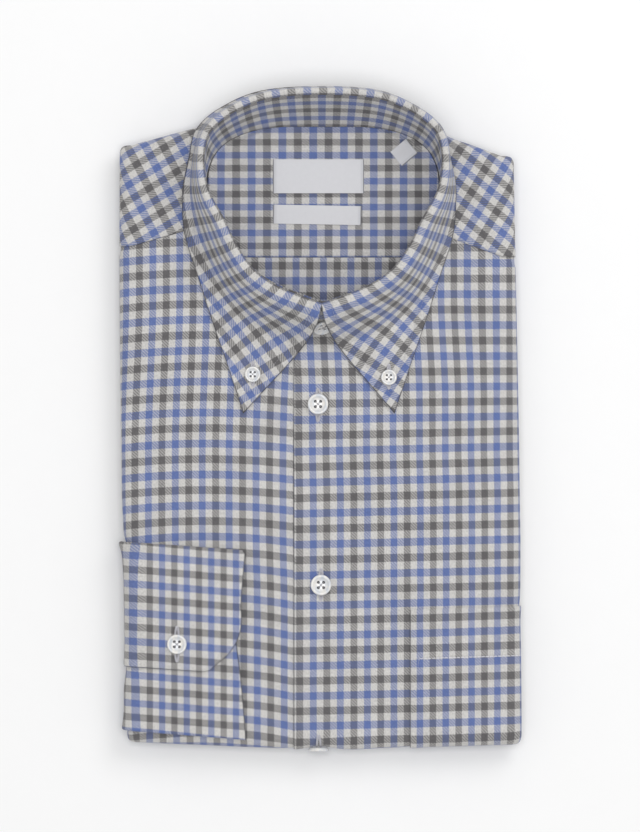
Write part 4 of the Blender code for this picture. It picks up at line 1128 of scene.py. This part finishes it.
def build_cuff():
    """The cuff: its section carried from the hand edge to the side fold and past it."""
    y, lift, length, count = cuff_path()
    lapped = lift > CUFF_LIFTS[2] - 0.01
    hand = np.where(lapped, look_up(CUFF_HAND_EDGE, y), look_up(CUFF_UNDER_EDGE, y))
    overs = np.linspace(0.0, CUFF_WRAP * ROLL, 9)[1:]
    share, over = past_folds(edge_rows(30, both=False), after=overs)
    rows = y[:, None] + 0.0 * share
    x = between(hand[:, None], left_edge(rows) + ROLL, share) - over
    to_end = np.where(lapped, y - CUFF_END_Y, 50.0)[:, None]
    to_hand = hand[:, None] - x
    to_edge = np.minimum(to_hand, to_end)
    drop = edge_drop(to_edge, 0.45, 1.6) * (lift[:, None] > CUFF_LIFTS[1] + 0.01)
    points = cuff_place(x, rows, lift[:, None] + drop)
    cloth = cloth_counts((x + 102.6) / CUFF_WARP, count[:, None] + 0.017 * (x + 103.0) / 16.07)
    stitch = stitch_runs(np.clip(to_edge, 0.0, EDGE_SHADE_REACH),
                         np.where(to_hand < to_end, rows, x))
    cloth_piece("cuff_cloth", "right_cuff", (points, cloth, stitch),
                (float(length[-1]), CUFF_FLAT_WIDTH), turned=True)


def build_sleeve():
    """The lower sleeve: sewn in under the cuff's edge, then round and under the side fold."""
    seam = CUFF_WRAP * ROLL
    past = np.concatenate([np.linspace(seam - 4.5, seam + 0.3, 6),
                           np.linspace(seam + 0.8, SLEEVE_WRAP * ROLL, 12)])
    along = edge_rows(50)[:, None]
    y = between(CUFF_BOTTOM_Y + 1.0, CUFF_TOP_Y - 1.0, along) + 0.0 * past
    risen = smoothstep(seam + 0.2, seam + 2.2, past)
    gathers = 0.3 * np.sin(y / 3.1 + 0.8 * np.sin(y / 11.0)) * risen
    x = left_edge(y) + ROLL - past
    points = cuff_place(x, y, between(0.78, SLEEVE_LIFT - 0.3, risen) + gathers)
    cloth = cloth_counts((x + 102.6) / CUFF_WARP, (y + 143.6) / 16.0)
    flat = (SLEEVE_FLAT_WIDTH, float(np.ptp(past)))
    cloth_piece("sleeve_cloth", "right_sleeve",
                (points, cloth, stitch_runs(past - seam + 4.6, y)), flat,
                turned=True)


# === the folded layers ===

def fold_wave(x, y):
    """Uneven edges of the folded layers, as slow sines along the outline."""
    return 0.6 * np.sin(y / 19.0 + 1.0) + 0.5 * np.sin(x / 15.0 + y / 37.0)


def layer_points(low, high, inset, low_y, high_y):
    """A flat layer that turns up round the outline and back inward.

    Past a rounded rectangle it follows a half circle of radius (high - low) / 2 and then
    runs inward again, level, at the upper height.
    """
    radius = (high - low) / 2
    start = inset + radius + LAYER_CORNER
    half_round = math.pi * radius
    turned = np.concatenate([np.linspace(0.0, half_round, 9)[1:], [half_round + 3, half_round + 6]])
    overs = np.concatenate([np.linspace(0.0, LAYER_CORNER, 6)[1:], LAYER_CORNER + turned])
    share, over_x = past_folds(np.linspace(0.0, 1.0, 56), overs, overs)
    ends = [overs if end is None else () for end in (low_y, high_y)]
    down, over_y = (run[:, None] for run in past_folds(np.linspace(0.0, 1.0, 96), *ends))
    y = np.zeros((len(down), len(share)))
    for _ in range(SETTLING_ROUNDS):
        flat_x = between(left_edge(y) + start, right_edge(y) - start, share)
        from_y = look_up(BOTTOM_EDGE, flat_x) + start if low_y is None else low_y
        to_y = look_up(TOP_EDGE, flat_x) - start if high_y is None else high_y
        y = between(from_y, to_y, down) + 0.0 * flat_x
    over = corner_distance(over_x + 0.0 * over_y, over_y + 0.0 * over_x)
    past = np.maximum(over - LAYER_CORNER, 0.0)
    turn = np.minimum(past / radius, math.pi)
    inward = np.maximum(past - half_round, 0.0)
    wave = fold_wave(flat_x, y) * smoothstep(0.0, LAYER_CORNER, over)
    reach = (np.minimum(over, LAYER_CORNER) + radius * np.sin(turn) - inward - wave) / over
    x, z = flat_x + over_x * reach, low + radius - radius * np.cos(turn)
    points = np.stack([x, y + over_y * reach, z], -1)
    if low < 1.0:
        within = np.minimum(x - left_edge(y), right_edge(y) - x)
        points[..., 2] += fold_relief(UNDER_CREASES, x, y) * smoothstep(9.0, 20.0, within)
    cloth = cloth_counts((flat_x + over_x) / PACKAGE_WARP, (y + over_y) / PACKAGE_WEFT + low)
    return points, cloth, y


def build_folded_layers():
    """The layers in turn from the underside up, each resting on the one before."""
    for name, low, high, inset, low_y, high_y in FOLDED_LAYERS:
        points, cloth, y = layer_points(low, high, inset, low_y, high_y)
        stitch = None if high_y is None else stitch_runs(high_y - y, points[..., 0])
        width, length, _ = np.ptp(points.reshape(-1, 3), axis=0)
        cloth_piece(name, "folded_body", (points, cloth, stitch),
                    (float(width) + 18.0, float(length) + 20.0), wall=0.8 * MM)


# === labels ===

def inside_frame_height(x, y):
    """Height of the floor and its folds at x, y."""
    left, right = neck_sides(y, SEAM_CLEAR)
    return floor_height(x, y, left, right) + fold_relief(INSIDE_CREASES, x, y)


def build_labels():
    """Each label: a turned rectangle on the inner yoke, sagging a little between its sewn ends."""
    for name, node, middle_x, middle_y, width, height, turn in LABELS:
        cos_turn, sin_turn = math.cos(math.radians(turn)), math.sin(math.radians(turn))
        across, along = np.meshgrid((edge_rows(40) - 0.5) * width, (edge_rows(16) - 0.5) * height)
        x = middle_x + across * cos_turn - along * sin_turn
        y = middle_y + across * sin_turn + along * cos_turn
        to_end = width / 2 - np.abs(across)
        if name == "size_label":
            lift = 1.2 + 1.5 * smoothstep(-height / 2, height / 2, along) ** 2
            sewn = np.minimum(height / 2 + along, height / 2 - np.abs(along) + 1.6)
        else:
            puff = np.sin(np.pi * to_end / (width / 2)) * np.sin(across / width * 9.0)
            lift = 1.15 + 0.25 * smoothstep(0.5, 4.0, to_end)
            lift = lift + 0.105 * puff * smoothstep(3.0, 8.0, to_end)
            sewn = to_end
        points = np.stack([x, y, inside_frame_height(x, y) + lift], -1)
        cloth_piece(name, node, (points, cloth_counts(across, along), stitch_runs(sewn, along)),
                    (width, height), wall=0.35 * MM,
                    material="label tape")


def axes_on(normal):
    """Side, ahead and normal directions on a surface, its normal turned upward."""
    normal = unit(normal if normal[2] > 0 else -normal)
    side = unit(np.cross([0.0, 1.0, 0.0], normal))
    return np.stack([side, np.cross(normal, side), normal])


# === buttons ===

def frame_at(surface, a, b, step_a, step_b):
    """A place on a surface, and its directions there."""
    here, across, along = (surface(np.array([a + da]), np.array([b + db]))[0]
                           for da, db in ((0, 0), (step_a, 0), (0, step_b)))
    return here, axes_on(np.cross(across - here, along - here))


def button_points(radius):
    """A turned disc whose face dips steeply into four thread holes.

    The rim's profile goes round the axis. Inside the rim each hole takes the face down by a
    smooth step of the distance from its middle.
    """
    profile = np.array(BUTTON_RIM)
    shares = np.concatenate([np.linspace(0.0, 0.42, 22), np.linspace(0.45, 0.98, 14)])
    face = np.stack([shares, np.interp(shares, profile[:7, 0], profile[:7, 1])], -1)
    outline = np.concatenate([face, profile[7:]])
    angle = np.radians(np.arange(0, 360, 5))
    x, y = outline[:, :1] * np.cos(angle), outline[:, :1] * np.sin(angle)
    nearest = np.hypot(np.abs(x) - HOLE_OFFSET, np.abs(y) - HOLE_OFFSET)
    on_face = np.arange(len(outline))[:, None] < len(face)
    hole = smoothstep(HOLE_RADIUS, HOLE_RADIUS * 0.6, nearest) * on_face
    return np.stack([x, y, outline[:, 1:] - HOLE_DEPTH * hole], -1) * radius, hole


def revolve_quads(rows, columns):
    """Faces of a grid that closes on itself across its columns."""
    index = np.arange(rows * columns).reshape(rows, columns)
    turned = np.roll(index, -1, axis=1)
    return np.stack([index[:-1], index[1:], turned[1:], turned[:-1]], -1).reshape(-1, 4)


def tube(path, radius, flat=1.0, sides=10, closed=False):
    """A round thread along a path: circles square to it, in the frame of its run and up."""
    ahead = np.roll(path, -1, axis=0) - np.roll(path, 1, axis=0)
    if not closed:
        ahead[0], ahead[-1] = path[1] - path[0], path[-1] - path[-2]
    ahead = unit(ahead)
    side = unit(np.cross([0.0, 0.0, 1.0], ahead))
    over = np.cross(ahead, side)
    angle = np.radians(np.arange(sides) * 360 / sides)[None, :, None]
    ring = side[:, None] * np.cos(angle) + over[:, None] * np.sin(angle) * flat
    points = path[:, None] + ring * radius
    index = np.arange(len(path) * sides).reshape(-1, sides)
    here, after = (index, np.roll(index, -1, axis=0)) if closed else (index[:-1], index[1:])
    quads = np.stack([here, np.roll(here, -1, 1), np.roll(after, -1, 1), after], -1)
    cloth = cloth_counts(np.arange(sides) * 0.3, lengths_along(path)[:, None])
    return points.reshape(-1, 3), quads.reshape(-1, 4), cloth.reshape(-1, 2)


def join_parts(parts):
    """Several meshes' arrays as one: points, quads numbered on, and cloth lengths."""
    points, quads, cloth = zip(*parts)
    starts = np.cumsum([0] + [len(each) for each in points[:-1]])
    quads = [each + start for each, start in zip(quads, starts)]
    return np.concatenate(points), np.concatenate(quads), np.concatenate(cloth)


def thread_bars(radius, height):
    """Two crossed threads over the four holes, each a bow that ends down in its holes."""
    share = np.linspace(-1.0, 1.0, 17)
    parts = []
    for side in (-1, 1):
        for strand in (-0.03, 0.03):
            bow = height + 0.03 + 0.02 * side - 0.19 * np.abs(share) ** 3
            path = np.stack([(share * side + strand) * HOLE_OFFSET,
                             (share - strand * side) * HOLE_OFFSET, bow], -1) * radius
            parts.append(tube(path, 0.028 * radius))
    return join_parts(parts)


def build_button(name, radius, here, axes, height):
    """A button and its threads, made in its own frame and put on the cloth."""
    points, hole = button_points(radius)
    # the holes' mask goes into the cloth map, for the painted shade in them
    face = (points.reshape(-1, 3), revolve_quads(*hole.shape)[:, ::-1],
            np.stack([hole, hole], -1).reshape(-1, 2))
    for part, material, nodes, (points, quads, cloth) in (
            ("pearl", "pearl button", (name,), face),
            ("thread", "sewing thread", (), thread_bars(radius, 0.2))):
        placed = here + points @ axes + axes[2] * height
        mesh = fill_mesh(f"{name}_{part}", placed, quads, cloth)
        close_poles(mesh)
        add_piece(f"{name}_{part}", mesh, bpy.data.materials[material], nodes)


def close_poles(mesh):
    """Merges a turned mesh's points on its axis, and closes what is still open."""
    shape = bmesh.new()
    shape.from_mesh(mesh)
    bmesh.ops.remove_doubles(shape, verts=shape.verts[:], dist=1e-6)
    open_edges = [edge for edge in shape.edges if edge.is_boundary]
    bmesh.ops.holes_fill(shape, edges=open_edges, sides=0)
    bmesh.ops.recalc_face_normals(shape, faces=shape.faces[:])
    for face in shape.faces:
        face.smooth = True
    shape.to_mesh(mesh)
    shape.free()


def build_buttonhole(name, surface, x, y, above, below, half_width=1.05):
    """A worked buttonhole: a thick satin loop on the cloth, longer than its button.

    In plan it is two straight sides joined by half rounds: the cosine, and the sine to the
    power 0.8, of an angle.
    """
    angle = np.radians(np.arange(60) * 6.0)
    ahead = np.sign(np.sin(angle)) * np.abs(np.sin(angle)) ** 0.8
    path = surface(x + np.cos(angle) * half_width, y + np.where(ahead > 0, ahead * above, ahead * below))
    mesh = fill_mesh(name, *tube(path, 0.62, flat=0.6, closed=True))
    add_piece(name, mesh, bpy.data.materials["sewing thread"])


def build_buttons():
    """The buttons of the points, then the stand's, then those of the fronts and the cuff."""
    leaf = fall_grid()[1][LEAF_ROW:]
    for name, x, y in COLLAR_BUTTONS:
        distance = np.hypot(leaf[..., 0] - x, leaf[..., 1] - y)
        row, column = np.unravel_index(np.argmin(distance), distance.shape)
        here = leaf[row, column]
        axes = axes_on(np.cross(leaf[row, column + 1] - here, leaf[row + 1, column] - here))
        build_button(name, COLLAR_BUTTON, here, axes, COLLAR_WALL / 2 + BUTTON_GAP - 0.2)

        def on_leaf(path_x, path_y):
            local = np.stack([path_x, path_y, np.full(path_x.shape, COLLAR_WALL / 2)], -1)
            return here + local @ axes
        build_buttonhole(name + "_hole", on_leaf, 0.0, 0.0, 7.0, 6.4, 0.8)

    here, axes = frame_at(stand_points, float(LAST_SECTION), STAND_BUTTON_UP, -0.2, 0.2)
    build_button("stand_button", FRONT_BUTTON, here, axes, COLLAR_WALL / 2 + BUTTON_GAP - 0.1)
    for name, radius, x, y, lift, above, below in PANEL_BUTTONS:
        def on_panel(path_x, path_y):
            return drape(path_x, path_y, lift + WALL / 2)

        here, axes = frame_at(on_panel, x, y, 1.0, 1.0)
        build_button(name, radius, here, axes, BUTTON_GAP - 0.1)
        build_buttonhole(name + "_hole", on_panel, x, y, above, below)


# === stage ===

def build_stage(settings):
    """The pale floor, the white sky, two soft lamps and the camera straight above."""
    scene = bpy.context.scene
    scene.view_settings.view_transform = "Standard"
    scene.view_settings.look = "None"
    corners = np.array([(-1, -1, 0), (1, -1, 0), (1, 1, 0), (-1, 1, 0)]) * FLOOR_HALF
    mesh = fill_mesh("floor", corners, np.array([[0, 1, 2, 3]]))
    floor = bpy.data.objects.new("floor", mesh)
    scene.collection.objects.link(floor)
    shader, w = new_material("pale floor", {"Roughness": 0.9, "Specular IOR Level": 0.1})
    grain = w.noise(w.add("ShaderNodeTexCoord").outputs["Object"], 60.0, 3.0)
    shade = tinted(settings.floor, 0.985, 0.985, 0.985)
    w.put(shader.inputs["Base Color"], w.mix(grain, settings.floor, shade))
    mesh.materials.append(bpy.data.materials["pale floor"])

    world = bpy.data.worlds.new("soft studio")
    world.use_nodes = True
    background = world.node_tree.nodes["Background"]
    background.inputs["Color"].default_value = (1.0, 1.0, 1.0, 1.0)
    background.inputs["Strength"].default_value = settings.sky_strength
    scene.world = world

    for name, size, power, place in (
            ("softbox", 1.0, settings.softbox_power, (0.75, 1.0, 1.5)),
            ("overhead_panel", 0.8, settings.overhead_power, (0.0, 0.0, 2.2))):
        lamp = bpy.data.lights.new(name, "AREA")
        lamp.size = size
        lamp.energy = power
        panel = bpy.data.objects.new(name, lamp)
        panel.location = place
        panel.rotation_euler = Vector(place).to_track_quat("Z", "Y").to_euler()
        scene.collection.objects.link(panel)

    camera = bpy.data.cameras.new("overhead")
    camera.sensor_width = 36.0
    distance, view_height = 5.0, 0.4659
    camera.lens = 36.0 * (distance - 0.022) / view_height
    camera.clip_end = 20.0
    overhead = bpy.data.objects.new("overhead", camera)
    overhead.location = (-0.00045, 0.0014, distance)
    scene.collection.objects.link(overhead)
    scene.camera = overhead


# === add-on ===

def colour(name, description, default):
    return bpy.props.FloatVectorProperty(
        name=name, description=description, subtype="COLOR", size=4, min=0.0, max=1.0,
        default=(*default, 1.0))


class FoldedShirtSettings(bpy.types.PropertyGroup):
    """Sizes and colours of the shirt and its stage."""

    cloth_wall: bpy.props.FloatProperty(
        name="Cloth Wall", description="Thickness of one layer of the flannel",
        default=0.8 * MM, min=0.2 * MM, max=2.0 * MM, unit="LENGTH", precision=4)
    stitch_inset: bpy.props.FloatProperty(
        name="Stitch Inset", description="Distance of the stitches from an edge, in millimetres",
        default=6.0, min=1.0, max=10.0)
    blue: colour("Blue Yarn", "Colour of the blue stripes", (0.114, 0.162, 0.366))
    grey: colour("Grey Yarn", "Colour of the grey stripes", (0.119, 0.114, 0.117))
    white: colour("White Yarn", "Colour of the pale ground", (0.571, 0.558, 0.540))
    thread: colour("Thread", "Colour of the sewing thread", (0.72, 0.71, 0.77))
    label: colour("Label Tape", "Colour of the blank labels", (0.70, 0.70, 0.725))
    button: colour("Button", "Colour of the pearly buttons", (0.80, 0.80, 0.80))
    twill: bpy.props.FloatProperty(
        name="Twill", description="Strength of the twill's slanted ribs", default=1.0, min=0.0, max=2.0)
    nap: bpy.props.FloatProperty(
        name="Nap", description="Strength of the brushed nap's mottle", default=1.0, min=0.0, max=2.0)
    sheen: bpy.props.FloatProperty(
        name="Sheen", description="Soft shine of the nap at a low angle", default=0.15, min=0.0, max=1.0)
    floor: colour("Floor", "Colour of the floor", (0.93, 0.93, 0.93))
    sky_strength: bpy.props.FloatProperty(
        name="Sky Strength", description="Strength of the even light all round", default=0.6, min=0.0)
    softbox_power: bpy.props.FloatProperty(
        name="Softbox Power", description="Power of the large soft lamp to one side",
        default=9.0, min=0.0, unit="POWER")
    overhead_power: bpy.props.FloatProperty(
        name="Overhead Power", description="Power of the soft lamp straight above",
        default=15.0, min=0.0, unit="POWER")


class ShirtOperator:
    """What the shirt's operators share."""

    bl_options = {"REGISTER", "UNDO"}

    @classmethod
    def poll(cls, context):
        return context.scene is not None


class SHIRT_OT_materials(ShirtOperator, bpy.types.Operator):
    """Make the flannel, label, button and thread materials and their node groups"""

    bl_idname = "folded_shirt.materials"
    bl_label = "Materials"

    def execute(self, context):
        settings = context.scene.folded_shirt
        make_weave_group()
        make_stitch_group()
        for make in (make_flannel, make_label_cloth, make_pearl, make_thread):
            make(settings)
        return {"FINISHED"}


class SHIRT_OT_fronts(ShirtOperator, bpy.types.Operator):
    """Make the two fronts, the left one lapped over the right"""

    bl_idname = "folded_shirt.fronts"
    bl_label = "Fronts"

    def execute(self, context):
        build_front("right_front", -1, right_front_check)
        build_front("left_front", 1, left_front_check)
        return {"FINISHED"}


class SHIRT_OT_yokes(ShirtOperator, bpy.types.Operator):
    """Make the two halves of the yoke, from the neck seam over the shoulder folds"""

    bl_idname = "folded_shirt.yokes"
    bl_label = "Yokes"

    def execute(self, context):
        build_yoke("right_yoke", -1, RIGHT_YOKE_CHECK)
        build_yoke("left_yoke", 1, LEFT_YOKE_CHECK)
        return {"FINISHED"}


class SHIRT_OT_inside(ShirtOperator, bpy.types.Operator):
    """Make the inner yoke and the back panel that show inside the neck"""

    bl_idname = "folded_shirt.inside"
    bl_label = "Inside of the Neck"

    def execute(self, context):
        build_inside()
        return {"FINISHED"}


class SHIRT_OT_collar(ShirtOperator, bpy.types.Operator):
    """Make the collar's stand and its fall"""

    bl_idname = "folded_shirt.collar"
    bl_label = "Collar"

    def execute(self, context):
        build_collar()
        return {"FINISHED"}


class SHIRT_OT_pocket(ShirtOperator, bpy.types.Operator):
    """Make the chest pocket"""

    bl_idname = "folded_shirt.pocket"
    bl_label = "Pocket"

    def execute(self, context):
        build_pocket()
        return {"FINISHED"}


class SHIRT_OT_cuff(ShirtOperator, bpy.types.Operator):
    """Make the folded cuff and the end of its sleeve"""

    bl_idname = "folded_shirt.cuff"
    bl_label = "Cuff and Sleeve"

    def execute(self, context):
        build_cuff()
        build_sleeve()
        return {"FINISHED"}


class SHIRT_OT_layers(ShirtOperator, bpy.types.Operator):
    """Make the folded tail, back and sleeves under the fronts"""

    bl_idname = "folded_shirt.layers"
    bl_label = "Folded Layers"

    def execute(self, context):
        build_folded_layers()
        return {"FINISHED"}


class SHIRT_OT_labels(ShirtOperator, bpy.types.Operator):
    """Make the three blank labels"""

    bl_idname = "folded_shirt.labels"
    bl_label = "Labels"

    def execute(self, context):
        build_labels()
        return {"FINISHED"}


class SHIRT_OT_buttons(ShirtOperator, bpy.types.Operator):
    """Make the buttons, their threads and their buttonholes"""

    bl_idname = "folded_shirt.buttons"
    bl_label = "Buttons"

    def execute(self, context):
        build_buttons()
        return {"FINISHED"}


class SHIRT_OT_stage(ShirtOperator, bpy.types.Operator):
    """Make the floor, the lights and the overhead camera"""

    bl_idname = "folded_shirt.stage"
    bl_label = "Stage"

    def execute(self, context):
        build_stage(context.scene.folded_shirt)
        return {"FINISHED"}


OPERATORS = (
    SHIRT_OT_materials, SHIRT_OT_layers, SHIRT_OT_fronts, SHIRT_OT_yokes, SHIRT_OT_inside,
    SHIRT_OT_collar, SHIRT_OT_pocket, SHIRT_OT_cuff, SHIRT_OT_labels, SHIRT_OT_buttons,
    SHIRT_OT_stage,
)


class SHIRT_PT_panel(bpy.types.Panel):
    """Lists the shirt's settings and the operators that make it"""

    bl_idname = "SHIRT_PT_panel"
    bl_label = "Folded Shirt"
    bl_space_type = "VIEW_3D"
    bl_region_type = "UI"
    bl_category = "Folded Shirt"

    def draw(self, context):
        settings = context.scene.folded_shirt
        for name in FoldedShirtSettings.__annotations__:
            self.layout.prop(settings, name)
        for operator in OPERATORS:
            self.layout.operator(operator.bl_idname)


CLASSES = (FoldedShirtSettings, *OPERATORS, SHIRT_PT_panel)


def register():
    for each in CLASSES:
        bpy.utils.register_class(each)
    bpy.types.Scene.folded_shirt = bpy.props.PointerProperty(type=FoldedShirtSettings)


def unregister():
    del bpy.types.Scene.folded_shirt
    for each in reversed(CLASSES):
        bpy.utils.unregister_class(each)


def main():
    register()
    for operator in OPERATORS:
        group, name = operator.bl_idname.split(".")
        getattr(getattr(bpy.ops, group), name)()


if __name__ == "__main__":
    main()
